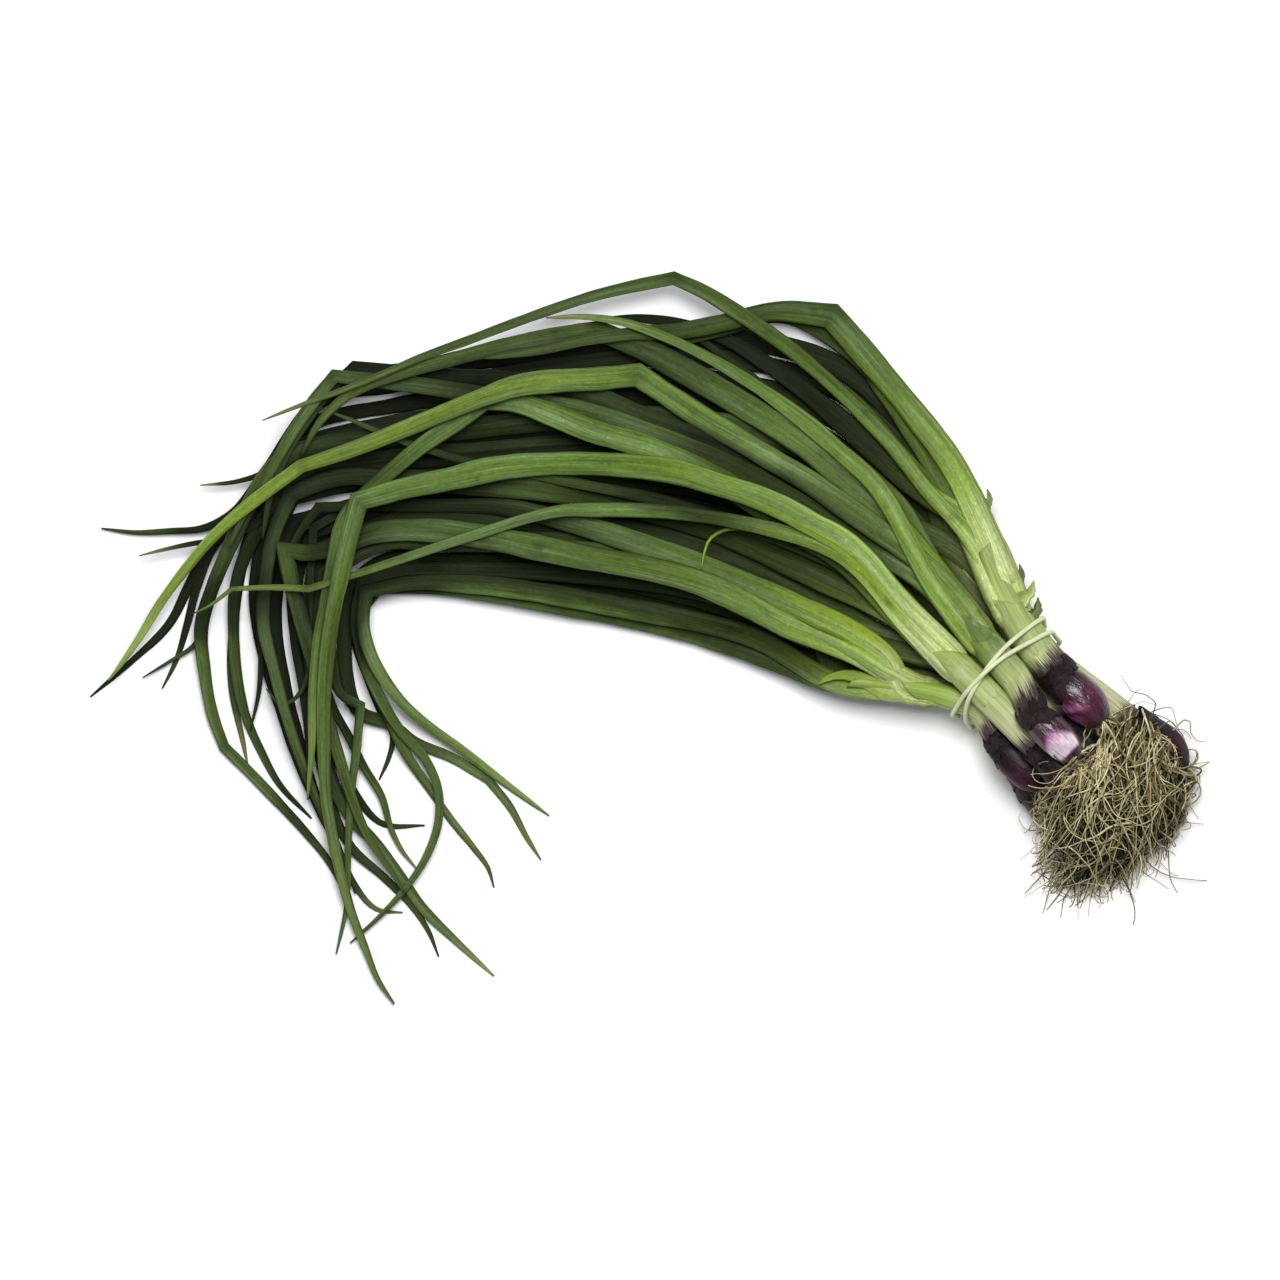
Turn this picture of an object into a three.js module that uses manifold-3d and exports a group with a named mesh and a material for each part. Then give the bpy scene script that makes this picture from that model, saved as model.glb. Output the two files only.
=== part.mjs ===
// A tied bunch of eight spring onions, lying on its side on a table.
// Millimetres, +Z up. The origin is on the table, under the middle of the bunch.
// Each onion is a leafy stem (white sheath and green blades, grown as one) and a purple bulb.
// The roots of all eight are matted into one tangle, and a rubber band wound twice ties the stems.

import * as THREE from "three";
import { mergeVertices } from "three/addons/utils/BufferGeometryUtils.js";
import Module from "manifold-3d";

const wasm = await Module();
wasm.setup();

// Driving dimensions.
const middle = [-1.65, 0.5]; // of the bunch in the plan below; the origin is moved there
const bandPlace = [130, -14]; // where the band ties the stems
const bunchTurn = -Math.PI / 4; // the bulbs point this way, in plan
const stemReach = 40; // from the band to where the last blade leaves the sheath
const bulbLength = 25;
const plateRadius = 3.2; // where the roots leave a bulb
const plateDepth = 2.4;
const gap = 0.35; // between pieces that touch
const lieGap = 0.56; // between leaves that lie on each other
const stemLift = 2.3; // the stems keep this far off the table, so that the band fits under them
const firstBladeOut = 17; // from the band to where a stem's first blade leaves it
const bladeSpacing = 3; // between where one blade leaves the stem and the next
const bladesInTurn = 4; // then the next blade leaves where the first does, on the stem's other side
const bladeLean = 0.35; // how far beside the stem's axis a blade leaves it, as a share of its radius
const freeReach = 66; // a route's points count from this far out
const rooted = 14; // this much of a blade stays inside the stem
const nestReach = 62; // up to here the blades of one onion stay nested in each other
const droopRadius = 260; // the curve of a leaf that sags under its own weight
const sampleStep = 3; // how closely leaves are tested against each other
const settleRounds = 400;
const ringsApart = { least: 4, most: 27, turn: 0.42 }; // a blade's rings: millimetres, and radians

// The eight stems, with the lowest first. Each has its place at the band (across the bunch, and up),
// its radius there, and how far across its leaf end splays. Its bulb has a place of its own.
const onions = [
  { across: 3.2, up: 8.7, radius: 6.0, splay: 4, bulb: { along: 53, across: 1, up: 9.1, radius: 9.6 } },
  { across: -13.5, up: 8.6, radius: 5.9, splay: -40, bulb: { along: 40, across: -19, up: 9, radius: 9.4 } },
  { across: 15.2, up: 10.2, radius: 5.8, splay: 18, bulb: { along: 57, across: 20, up: 9.5, radius: 10 } },
  { across: -2.4, up: 18.9, radius: 4.7, splay: -22, bulb: { along: 38.5, across: 1.8, up: 23, radius: 7 } },
  { across: -15, up: 19.9, radius: 5, splay: -42, bulb: { along: 25, across: -18.6, up: 23, radius: 7.1 } },
  { across: 14.6, up: 24, radius: 6.8, splay: 28, bulb: { along: 23, across: 13.2, up: 30, radius: 9 } },
  { across: -9.8, up: 29.7, radius: 5.6, splay: -10, bulb: { along: 38, across: -10, up: 33.5, radius: 7 } },
  { across: 2, up: 31, radius: 5.7, splay: 6, bulb: { along: 25.5, across: -3.2, up: 44.5, radius: 7.3 } },
];

// The two edges of the fan that the lower leaves spread between, from the stems to the bend.
const lowerEdge = [[62, -12], [40, -6], [20, 1], [0, 6], [-25, 11], [-50, 15], [-75, 17], [-95, 18]];
const upperEdge = [[104, 66], [88, 88], [70, 102], [50, 109], [22, 112], [-15, 110], [-55, 104],
  [-90, 99]];

// The leaves, from the lowest in the pile to the topmost. Each has its onion, its half width, and
// its route in plan after the sheath. A route's third number is 1 where the leaf is creased.
// A lane is a leaf's share of the way from the lower edge of the fan to the upper one. An early
// leaf parts from its stem at once, and the others follow the stem until it ends.
const leaves = [
  { onion: 2, half: 4.0, lane: 0.25, tail: [[-118, 26, 1], [-122, 8], [-121, -12], [-116, -32],
    [-107, -53], [-95, -67], [-80, -67.5]] },
  { onion: 3, half: 4.1, lane: 0.97, tail: [[-112, 94, 1], [-125, 79], [-136, 62], [-147, 47],
    [-158, 34], [-165, 20], [-172, 6], [-186, -8], [-201, -21]] },
  { onion: 2, half: 3.6, lane: 0.05, tail: [[-104, 12, 1], [-105, 0], [-101, -13], [-96, -26],
    [-91.5, -35], [-93, -43], [-96.5, -51]] },
  { onion: 1, half: 4.1, lane: 0.4, tail: [[-128, 42, 1], [-133, 25], [-134, 5], [-131, -15], [-126, -35],
    [-120, -55], [-113, -72], [-106, -88], [-97, -98], [-88, -99]] },
  { onion: 3, half: 4.0, lane: 0.82, tail: [[-126, 74], [-136, 59], [-146, 45], [-156, 34], [-162, 20],
    [-166, 5], [-170, -8], [-175, -18]] },
  { onion: 2, half: 4.0, lane: 0.35, tail: [[-124, 36, 1], [-127, 18], [-126, 0], [-122, -20], [-118, -40],
    [-114, -60], [-106, -76], [-95.5, -85.5], [-86, -95], [-78.5, -106], [-75, -115]] },
  { onion: 1, half: 4.3, lane: 0.5, tail: [[-131, 52, 1], [-138, 35], [-141, 15], [-138, -6], [-132, -25],
    [-126, -43], [-118, -62], [-110, -78], [-105, -92]] },
  { onion: 3, half: 3.3, lane: 0.9, tail: [[-118, 84], [-127, 72], [-136, 61], [-147, 57], [-161, 55.5]]
    },
  { onion: 1, half: 4.0, lane: 0.6, tail: [[-133, 58], [-142, 40], [-147, 22], [-149, 5], [-150, -10],
    [-149, -22], [-146, -36], [-144, -46]] },
  { onion: 4, half: 3.6, lane: 0.35, tail: [[-121, 38, 1], [-126, 22], [-127, 2], [-124, -18], [-122, -36],
    [-122, -58]] },
  { onion: 3, half: 4.2, lane: 0.6, tail: [[-127, 58], [-136, 46], [-143, 34], [-148, 20], [-149, 5],
    [-148, -12], [-145, -27], [-139, -41], [-133, -52], [-121, -65]] },
  { onion: 4, half: 4.6, lane: 0.28, tail: [[-118, 30, 1], [-121, 10], [-120, -10], [-118, -30],
    [-114, -50], [-106, -65], [-98.5, -73], [-90, -84], [-81, -97], [-69, -109], [-55, -122]] },
  { onion: 1, half: 3.0, lane: 0.5, tail: [[-127, 50, 1], [-136, 30], [-140, 12], [-139, -5], [-140, -20],
    [-143, -33]] },
  { onion: 3, half: 3.4, lane: 0.75, tail: [[-131, 66], [-141, 54], [-150, 45], [-160, 40], [-172, 39],
    [-185, 38.5], [-197, 40]] },
  { onion: 1, half: 3.0, lane: 0.55, tail: [[-129, 53], [-140, 42], [-152, 36], [-163, 34.5],
    [-175, 32], [-183, 30]] },
  { onion: 4, half: 4.1, lane: 0.12, tail: [[-108, 18, 1], [-109, 2], [-108, -14], [-104, -26], [-92, -31],
    [-84, -37], [-70, -43], [-57, -51, 1], [-49, -61], [-43, -72], [-38, -80]] },
  { onion: 1, half: 2.8, lane: 0.65, tail: [[-131, 59], [-143, 46], [-153, 30], [-158, 12], [-163, -2],
    [-172, -8], [-182, -14]] },
  { onion: 1, half: 4.2, lane: 0.68, tail: [[-134, 62], [-144, 46], [-151, 31], [-157, 17], [-160.5, 5],
    [-159.5, -12], [-156.5, -28], [-152.5, -39, 1], [-144.5, -47], [-134, -58], [-123, -70],
    [-115, -80], [-109, -92], [-106, -103]] },
  { onion: 1, half: 2.8, lane: 0.45, tail: [[-120, 40, 1], [-121, 20], [-120, 2], [-121, -10], [-126, -21],
    [-131, -24], [-137, -18]] },
  { onion: 4, half: 3.4, lane: 0.22, tail: [[-116, 24, 1], [-118, 6], [-117, -12], [-113, -25],
    [-108, -34], [-102, -46], [-95.5, -57], [-92, -69], [-88.5, -76], [-83, -83]] },
  { onion: 4, half: 3.1, lane: 0.2, tail: [[-112, 25, 1], [-114, 8], [-113, -8], [-110, -20],
    [-103, -24, 1], [-104.5, -40], [-106.5, -56], [-107.5, -72], [-108.5, -98], [-112, -114]] },
  { onion: 5, half: 3.6, route: [[78, -21], [63, -15.5], [47, -9.3], [33, -3.2], [15, 2.6], [-5, 7.2],
    [-25, 11.2], [-50, 15.7], [-75, 18.7], [-97, 19, 1], [-103, 10], [-103, -3], [-99, -15], [-93, -28],
    [-87, -41], [-79, -53], [-70, -66], [-62, -76], [-57, -83], [-55, -90]] },
  { onion: 6, half: 3.2, blunt: 1, route: [[103, 55], [92, 67], [82, 79], [75, 86.5], [70, 91]] },
  { onion: 5, half: 3.2, early: 1, route: [[87, -11], [72, -2], [58, 4.5], [40, 11], [20, 17], [-5, 21],
    [-35, 24], [-65, 25], [-90, 24], [-102, 21, 1], [-104.5, 8], [-102, -7], [-96, -21], [-88, -34],
    [-80, -43], [-75, -55], [-75, -66], [-79, -78], [-86, -89], [-96, -100], [-107, -110]] },
  { onion: 8, half: 4.0, route: [[82, 38], [64, 50], [42, 62], [20, 71], [0, 79], [-20, 88], [-45, 93],
    [-70, 95], [-90, 96.5], [-105, 98, 1], [-113, 90], [-121, 80], [-129, 67], [-135, 52], [-138, 36]]
    },
  { onion: 6, half: 4.2, route: [[100, 53], [90, 61], [80, 70], [70, 79], [58, 89], [44, 99],
    [30, 107.5], [16, 113], [3, 115.5], [-8, 116], [-16, 115.5]] },
  { onion: 5, half: 4.4, early: 1, route: [[88, -8.5], [74, 2.5], [58, 10], [45, 16], [30, 22],
    [12, 29], [-8, 36], [-28, 42], [-48, 47], [-70, 48], [-95, 48], [-118, 47.5, 1], [-125, 38],
    [-131, 26]] },
  { onion: 7, half: 4.3, route: [[80, 14], [66, 20], [45, 30], [30, 37], [10, 44], [-15, 50], [-40, 54],
    [-65, 56], [-90, 58], [-112, 58], [-128, 52, 1], [-134, 38], [-137, 22], [-138, 6], [-134, -12],
    [-129, -30], [-123, -48], [-116, -65], [-110, -80]] },
  { onion: 8, half: 3.4, route: [[90, 49], [84, 55], [72, 66], [60, 77], [46, 88], [32, 99], [20, 108],
    [11, 114]] },
  { onion: 5, half: 4.5, early: 1, route: [[87, -12], [74, -4.5], [62, 0.5], [50, 5], [35, 13],
    [20, 20], [0, 25.5], [-20, 29], [-40, 33], [-60, 37], [-80, 39], [-98, 38], [-112, 33], [-122, 31],
    [-130, 32, 1], [-127, 18], [-123, 3], [-119, -12], [-115, -28], [-110, -45], [-106, -58],
    [-100, -72], [-92, -84], [-87, -92]] },
  { onion: 7, half: 2.6, route: [[82, 20], [66, 28], [45, 37], [25, 44], [5, 50], [-20, 55], [-45, 60],
    [-60, 63], [-75, 67], [-90, 72], [-104, 78], [-117, 83]] },
  { onion: 6, half: 4.5, route: [[112, 50], [103.5, 64.5], [95.5, 77.5], [88.5, 88], [82.5, 96.5, 1],
    [75, 103], [68, 108], [60, 113], [53, 116], [44, 116.5], [34, 113], [20, 109], [5, 106]] },
  { onion: 8, half: 4.5, route: [[84, 30], [70, 39], [50, 51], [35, 59], [10, 70], [-15, 79], [-40, 85],
    [-60, 88], [-80, 91], [-98, 93], [-112, 94.5, 1], [-119, 86], [-126, 76], [-133, 64], [-139, 53],
    [-145, 44], [-150, 33]] },
  { onion: 5, half: 3.8, route: [[66, -9], [55, -5], [38, 1], [22, 5.5], [5, 9], [-12, 12], [-28, 15],
    [-47, 18], [-68, 20], [-88, 20], [-101, 17, 1], [-102, 5], [-99.5, -5], [-94.5, -14.5], [-87.5, -23.5],
    [-78.5, -31.5], [-66, -40.5], [-50.5, -52.5], [-35, -64]] },
  { onion: 7, half: 4.2, route: [[78, 24], [68, 30], [55, 38], [40, 48], [25, 58], [15, 63], [0, 69],
    [-20, 75], [-35, 81], [-47, 85], [-58, 86, 1], [-68, 78], [-80, 70], [-91, 61], [-102, 51],
    [-108, 44], [-112, 30], [-115, 15], [-118, 0], [-120, -20], [-120.5, -40], [-122, -58]] },
  { onion: 8, half: 4.9, route: [[88, 43], [75, 55], [62, 66], [48, 76], [32, 86], [15, 96], [0, 104],
    [-17, 111, 1], [-32, 109], [-50, 105.5], [-70, 100.5], [-90, 95], [-108, 87], [-118, 77],
    [-124, 66]] },
  { onion: 6, half: 4.6, route: [[119.5, 47.5], [109.5, 64.5], [97.5, 80.5], [83.5, 97.5],
    [67, 116.5, 1], [46, 118], [28, 114], [12, 111], [-5, 110], [-20, 108], [-38, 104], [-58, 101]] },
  { onion: 8, half: 3.3, route: [[96, 44], [79, 59], [70, 67], [58, 77.5], [44, 88],
    [30, 97], [18, 103.5], [6, 109], [-8, 114], [-22, 116], [-36, 115.7]] },
  { onion: 7, half: 1.3, route: [[80, 24], [70, 29.5], [55, 36], [45, 38.5], [35, 39.5], [28, 39],
    [23, 36], [21, 31], [20, 25]] },
  { onion: 7, half: 2.7, route: [[80, 25], [68, 31], [50, 38], [40, 40.5], [25, 43.5], [10, 45.5],
    [-5, 46.3], [-18, 46.3], [-30, 46], [-42, 43.5], [-55, 39.5], [-75, 33], [-90, 28], [-105, 23],
    [-121, 18, 1], [-135, 18.5], [-149, 18, 1], [-157, 12], [-163, 9]] },
  { onion: 5, half: 1.2, early: 1, route: [[88, -19], [80, -15.5], [73, -13], [67, -13.5], [62, -16]] },
  { onion: 7, half: 4.4, route: [[85, 26], [70, 35.5], [60, 41], [50, 46.5], [38, 51.5], [25, 55.5],
    [10, 60], [-5, 62], [-20, 63], [-38, 62.8], [-55, 61], [-70, 57.5], [-87, 54], [-103, 49.5, 1],
    [-106, 38], [-109, 25], [-112, 12], [-114.5, -4], [-116, -22], [-116, -40], [-115.5, -56],
    [-113, -72], [-110, -86], [-106, -100], [-101, -113], [-97, -123], [-91, -132]] },
  { onion: 8, half: 4.3, route: [[92, 33], [80, 41.5], [70, 48.5], [58, 57], [46, 64], [32, 72.5],
    [18, 81], [6, 89], [-3, 95, 1], [-18, 93.5], [-34, 92.5], [-46, 91], [-58, 87], [-72, 81.5],
    [-88, 75], [-106, 68], [-124, 62, 1], [-135, 54], [-146, 45.5], [-156, 36.5], [-166, 25],
    [-175, 13], [-183, 0], [-190, -10], [-194, -15]] },
  { onion: 6, half: 2.8, route: [[108, 44], [100, 55], [90, 68], [80, 79], [70, 89], [60, 98],
    [50, 106], [40, 113], [30, 119.5], [20, 125.5], [10, 130, 1], [-5, 127], [-20, 123.3], [-35, 118.3],
    [-50, 112.8], [-65, 107], [-80, 101.5], [-95, 95], [-110, 89], [-124, 84], [-138, 78.5]] },
];

// A leaf's half width and half thickness along it, as shares of its widest.
const widthShares = [[0, 0.85], [0.1, 1], [0.5, 1], [0.63, 0.9], [0.74, 0.74], [0.85, 0.58],
  [0.93, 0.45], [0.98, 0.26], [1, 0.1]];
const bluntShares = [[0, 0.85], [0.1, 1], [0.9, 1], [1, 0.8]]; // a leaf that is broken off
const thickShares = [[0, 0.62], [0.15, 0.54], [0.5, 0.46], [0.8, 0.44], [1, 0.5]];
const creaseWidth = 1.18; // a crease flattens the leaf and spreads it
const creaseThickness = 0.55;
const thinnest = 0.36;
const stemEndShare = 0.88; // a stem is slimmer where its last blades part

const direction = [Math.cos(bunchTurn), Math.sin(bunchTurn)];
const sideways = [-direction[1], direction[0]];

function shareAt(table, s) {
  for (let i = 1; i < table.length; i++) {
    const [s0, v0] = table[i - 1];
    const [s1, v1] = table[i];
    if (s <= s1) return v0 + ((v1 - v0) * (s - s0)) / (s1 - s0);
  }
  return table[table.length - 1][1];
}

function place(along, across) {
  return [0, 1].map((i) => bandPlace[i] + along * direction[i] + across * sideways[i]);
}

// How far out from the band a point lies, towards the leaves.
function outOf([x, y]) {
  return (bandPlace[0] - x) * direction[0] + (bandPlace[1] - y) * direction[1];
}

// An onion's axis at a distance from the band: positive towards the bulb, negative to the leaves.
function axisAt(onion, along) {
  const { bulb } = onion;
  if (along >= 0) {
    const t = Math.min(1, along / (bulb.along - bulbLength * 0.3));
    const ease = t * t * (3 - 2 * t);
    return {
      across: onion.across + (bulb.across - onion.across) * ease,
      up: onion.up + (bulb.up - onion.up) * ease,
    };
  }
  const t = -along / stemReach;
  return { across: onion.across + (onion.splay - onion.across) * t * (0.6 + 0.4 * t), up: onion.up };
}

// A smooth line through points, with a corner at each crease. It returns points close together.
function smoothLine(points) {
  const dense = [];
  let start = 0;
  for (let end = 1; end < points.length; end++) {
    if (end < points.length - 1 && !points[end][2]) continue;
    const run = points.slice(start, end + 1);
    const gaps = run.slice(1).map((p, i) => Math.hypot(p[0] - run[i][0], p[1] - run[i][1]));
    const slopes = run.map((p, i) => {
      if (i === 0 || i === run.length - 1) {
        const j = i === 0 ? 0 : i - 1;
        return [0, 1].map((c) => (run[j + 1][c] - run[j][c]) / gaps[j]);
      }
      return [0, 1].map((c) => {
        const before = (run[i][c] - run[i - 1][c]) / gaps[i - 1];
        const after = (run[i + 1][c] - run[i][c]) / gaps[i];
        return (before * gaps[i] + after * gaps[i - 1]) / (gaps[i] + gaps[i - 1]);
      });
    });
    for (let i = 0; i < gaps.length; i++) {
      const steps = Math.max(2, Math.ceil(gaps[i] / 2));
      for (let k = i === 0 && dense.length === 0 ? 0 : 1; k <= steps; k++) {
        const t = k / steps;
        const t2 = t * t;
        const t3 = t2 * t;
        const xy = [0, 1].map(
          (c) =>
            (2 * t3 - 3 * t2 + 1) * run[i][c] +
            (t3 - 2 * t2 + t) * gaps[i] * slopes[i][c] +
            (3 * t2 - 2 * t3) * run[i + 1][c] +
            (t3 - t2) * gaps[i] * slopes[i + 1][c],
        );
        const crease = k === steps && i === gaps.length - 1 && end < points.length - 1;
        dense.push({ x: xy[0], y: xy[1], crease });
      }
    }
    start = end;
  }
  dense.forEach((p, i) => {
    p.arc = i === 0 ? 0 : dense[i - 1].arc + Math.hypot(p.x - dense[i - 1].x, p.y - dense[i - 1].y);
  });
  return dense;
}

// Picks the points of a smooth line where it gets a ring: at creases, and where it has turned or run on.
function pickRings(dense) {
  const rings = [dense[0]];
  let turned = 0;
  for (let i = 1; i < dense.length; i++) {
    const last = i === dense.length - 1;
    if (!last) {
      const a = Math.atan2(dense[i].y - dense[i - 1].y, dense[i].x - dense[i - 1].x);
      const b = Math.atan2(dense[i + 1].y - dense[i].y, dense[i + 1].x - dense[i].x);
      const turn = Math.abs(Math.atan2(Math.sin(b - a), Math.cos(b - a)));
      if (!dense[i].crease) turned += turn;
    }
    const run = dense[i].arc - rings[rings.length - 1].arc;
    const left = dense[dense.length - 1].arc - dense[i].arc;
    const due = run > ringsApart.most || turned > ringsApart.turn;
    if (last || dense[i].crease || (due && Math.min(run, left) > ringsApart.least)) {
      rings.push(dense[i]);
      turned = 0;
    }
  }
  return rings;
}

// The nearest point to p, in plan, on the stretch of a leaf or a stem between two of its rings.
function nearest(a, b, p) {
  const dx = b.x - a.x;
  const dy = b.y - a.y;
  const g = Math.min(1, Math.max(0, ((p.x - a.x) * dx + (p.y - a.y) * dy) / (dx * dx + dy * dy)));
  return { away: Math.hypot(a.x + g * dx - p.x, a.y + g * dy - p.y), g };
}

function heightOf(stem, p) {
  let best = { away: Infinity, z: 0 };
  for (let m = 0; m + 1 < stem.rings.length; m++) {
    const [a, b] = stem.rings.slice(m);
    const { away, g } = nearest(a, b, p);
    if (away < best.away) best = { away, z: a.z * (1 - g) + b.z * g };
  }
  return best.z;
}

// How high one leaf must lie over another, as a share of their thickness, at a distance in plan
// that is a share of their width. Stems are round, and blades have a flat top and bottom.
function stackShare(q, round) {
  if (round) return Math.sqrt(1 - Math.max(0, (q - 0.15) / 0.85) ** 2);
  return q < 0.5 ? 1 : 2 * (1 - q);
}

// A leaf's way through the fan, as a share of the way from its lower edge to its upper one.
function fanLine(lane) {
  return lowerEdge.map((p, i) => [0, 1].map((c) => p[c] + (upperEdge[i][c] - p[c]) * lane));
}

// Lowers a leaf or a stem onto what already lies there. It keeps its plan, and each ring gets a height.
function settle(item, lying) {
  const rings = item.rings;
  const needs = [];
  for (let k = 0; k + 1 < rings.length; k++) {
    const a = rings[k];
    const b = rings[k + 1];
    const steps = Math.max(1, Math.ceil((b.arc - a.arc) / sampleStep));
    for (let j = 0; j <= steps; j++) {
      const f = j / steps;
      const at = (key) => a[key] * (1 - f) + b[key] * f;
      const [x, y, half, thick, arc] = ["x", "y", "half", "thick", "arc"].map(at);
      let need = thick + (item.round ? stemLift : 0);
      for (const other of lying) {
        if (other.onion === item.onion && (other.round || item.round || arc < nestReach)) continue;
        for (let m = 0; m + 1 < other.rings.length; m++) {
          const p = other.rings[m];
          const q = other.rings[m + 1];
          const { away, g } = nearest(p, q, { x, y });
          const reach = half + p.half * (1 - g) + q.half * g;
          if (away >= reach) continue;
          const otherThick = p.thick * (1 - g) + q.thick * g;
          const share = stackShare(away / reach, item.round || other.round);
          need = Math.max(need, p.z * (1 - g) + q.z * g + (thick + otherThick) * share + lieGap);
        }
      }
      needs.push({ k, f, need });
    }
  }
  const last = rings.length - 1;
  for (let round = 0; round < settleRounds; round++) {
    for (let i = item.pinned; i <= last; i++) {
      const before = rings[i].arc - rings[i - 1].arc;
      if (i < last) {
        const after = rings[i + 1].arc - rings[i].arc;
        const straight = (rings[i - 1].z * after + rings[i + 1].z * before) / (before + after);
        rings[i].z += 0.5 * (straight - rings[i].z) - (0.25 * before * after) / droopRadius;
      } else {
        rings[i].z += 0.5 * (rings[i - 1].z - rings[i].z) - (0.25 * before * before) / droopRadius;
      }
    }
    for (const { k, f, need } of needs) {
      const a = rings[k];
      const b = rings[k + 1];
      const short = need - (a.z * (1 - f) + b.z * f);
      if (short <= 0) continue;
      const freeA = k >= item.pinned ? 1 - f : 0;
      const freeB = k + 1 >= item.pinned ? f : 0;
      const sum = freeA * freeA + freeB * freeB;
      if (sum < 0.16) continue;
      a.z += (short * freeA) / sum;
      b.z += (short * freeB) / sum;
    }
  }
}

function layStem(number, lying) {
  const onion = onions[number - 1];
  const rings = stemStations(onion).map((along) => {
    const at = axisAt(onion, along);
    const [x, y] = place(along, at.across);
    const half = onion.radius * (along === -stemReach ? stemEndShare : 1);
    return { x, y, z: at.up, half, thick: half, along, across: at.across };
  });
  rings.forEach((r, i) => {
    r.arc = i === 0 ? 0 : rings[i - 1].arc + Math.hypot(r.x - rings[i - 1].x, r.y - rings[i - 1].y);
  });
  const stem = { onion: number, round: true, pinned: 3, rings };
  settle(stem, lying);
  return stem;
}

// The order is the leaf's place among its onion's own leaves.
function layLeaf(leaf, order, stem, lying) {
  const onion = onions[leaf.onion - 1];
  const from = -(firstBladeOut + bladeSpacing * (order % bladesInTurn));
  const lean = (order % 2 ? 1 : -1) * bladeLean * onion.radius;
  const spot = (along) => place(along, axisAt(onion, along).across + lean);
  const onward = leaf.route ?? [...fanLine(leaf.lane), ...leaf.tail];
  const follows = [spot(-stemReach), ...onward.slice(onward.findIndex((p) => outOf(p) > freeReach))];
  const rings = pickRings(smoothLine([spot(from), ...(leaf.early ? onward : follows)]));
  const length = rings[rings.length - 1].arc;
  for (const ring of rings) {
    const s = ring.arc / length;
    ring.half = leaf.half * shareAt(leaf.blunt ? bluntShares : widthShares, s);
    ring.thick = ring.half * shareAt(thickShares, s);
    if (ring.crease) {
      ring.half *= creaseWidth;
      ring.thick *= creaseWidth * creaseThickness;
    }
    ring.thick = Math.max(thinnest, ring.thick);
    ring.z = heightOf(stem, ring);
  }
  const inside = rings.filter((ring) => ring.arc < rooted).length;
  const blade = { onion: leaf.onion, round: false, pinned: Math.max(1, inside), rings };
  settle(blade, lying);
  return blade;
}

// The stems and the leaves, lowered one after another. An onion's stem comes before its leaves.
function layOut() {
  const lying = [];
  const stems = new Map();
  const counts = onions.map(() => 0);
  for (const leaf of leaves) {
    if (!stems.has(leaf.onion)) {
      const stem = layStem(leaf.onion, lying);
      stems.set(leaf.onion, stem);
      lying.push(stem);
    }
    lying.push(layLeaf(leaf, counts[leaf.onion - 1]++, stems.get(leaf.onion), lying));
  }
  return { stems, blades: lying.filter((item) => !item.round) };
}

function bulbStart(onion) {
  return onion.bulb.along - bulbLength * 0.5;
}

function bulbEnd(onion) {
  return onion.bulb.along + bulbLength * 0.5;
}

// Where a stem gets its rings, from the bulb to the leaves.
function stemStations(onion) {
  const start = bulbStart(onion);
  return [start, start * 0.55, 0, -10, -20, -30, -stemReach];
}

// Joins rings of points into one closed solid with flat ends.
function loft(rings, closed = false) {
  const sides = rings[0].length;
  const points = rings.flat();
  const faces = [];
  const bands = closed ? rings.length : rings.length - 1;
  for (let i = 0; i < bands; i++) {
    const next = ((i + 1) % rings.length) * sides;
    for (let j = 0; j < sides; j++) {
      const k = (j + 1) % sides;
      faces.push(i * sides + j, next + k, next + j);
      faces.push(i * sides + j, i * sides + k, next + k);
    }
  }
  if (!closed) {
    const lastRing = (rings.length - 1) * sides;
    for (let j = 1; j + 1 < sides; j++) {
      faces.push(0, j + 1, j);
      faces.push(lastRing, lastRing + j, lastRing + j + 1);
    }
  }
  const geometry = new THREE.BufferGeometry();
  const numbers = points.flatMap((p) => [p.x, p.y, p.z]);
  geometry.setAttribute("position", new THREE.Float32BufferAttribute(numbers, 3));
  geometry.setIndex(faces);
  return geometry;
}

function toSolid(geometry) {
  const merged = mergeVertices(geometry, 1e-4);
  const mesh = new wasm.Mesh({
    numProp: 3,
    vertProperties: new Float32Array(merged.attributes.position.array),
    triVerts: new Uint32Array(merged.index.array),
  });
  const solid = new wasm.Manifold(mesh);
  if (solid.volume() > 0) return solid;
  for (let i = 0; i < mesh.triVerts.length; i += 3) {
    [mesh.triVerts[i + 1], mesh.triVerts[i + 2]] = [mesh.triVerts[i + 2], mesh.triVerts[i + 1]];
  }
  return new wasm.Manifold(mesh);
}

function toGeometry(solid) {
  const mesh = solid.getMesh();
  const flat = new Float32Array(mesh.numVert * 3);
  for (let i = 0; i < mesh.numVert; i++) {
    flat.set(mesh.vertProperties.subarray(i * mesh.numProp, i * mesh.numProp + 3), i * 3);
  }
  const geometry = new THREE.BufferGeometry();
  geometry.setAttribute("position", new THREE.BufferAttribute(flat, 3));
  geometry.setIndex(new THREE.BufferAttribute(mesh.triVerts, 1));
  geometry.computeVertexNormals();
  return geometry;
}

// The way a row of rings runs in plan at one of them, and how much a corner there widens the ring.
function heading(rings, i) {
  const unit = (a, b) => {
    const l = Math.hypot(b.x - a.x, b.y - a.y);
    return [(b.x - a.x) / l, (b.y - a.y) / l];
  };
  const before = i > 0 ? unit(rings[i - 1], rings[i]) : unit(rings[i], rings[i + 1]);
  const after = i + 1 < rings.length ? unit(rings[i], rings[i + 1]) : before;
  const sum = [before[0] + after[0], before[1] + after[1]];
  const l = Math.hypot(...sum);
  return { way: [sum[0] / l, sum[1] / l], mitre: Math.min(1.5, 2 / l) };
}

// A point beside a ring's centre and above or below it, never under the table's top.
function aside(centre, way, out, up) {
  return new THREE.Vector3(centre.x - way[1] * out, centre.y + way[0] * out, Math.max(0, centre.z + up));
}

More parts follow.
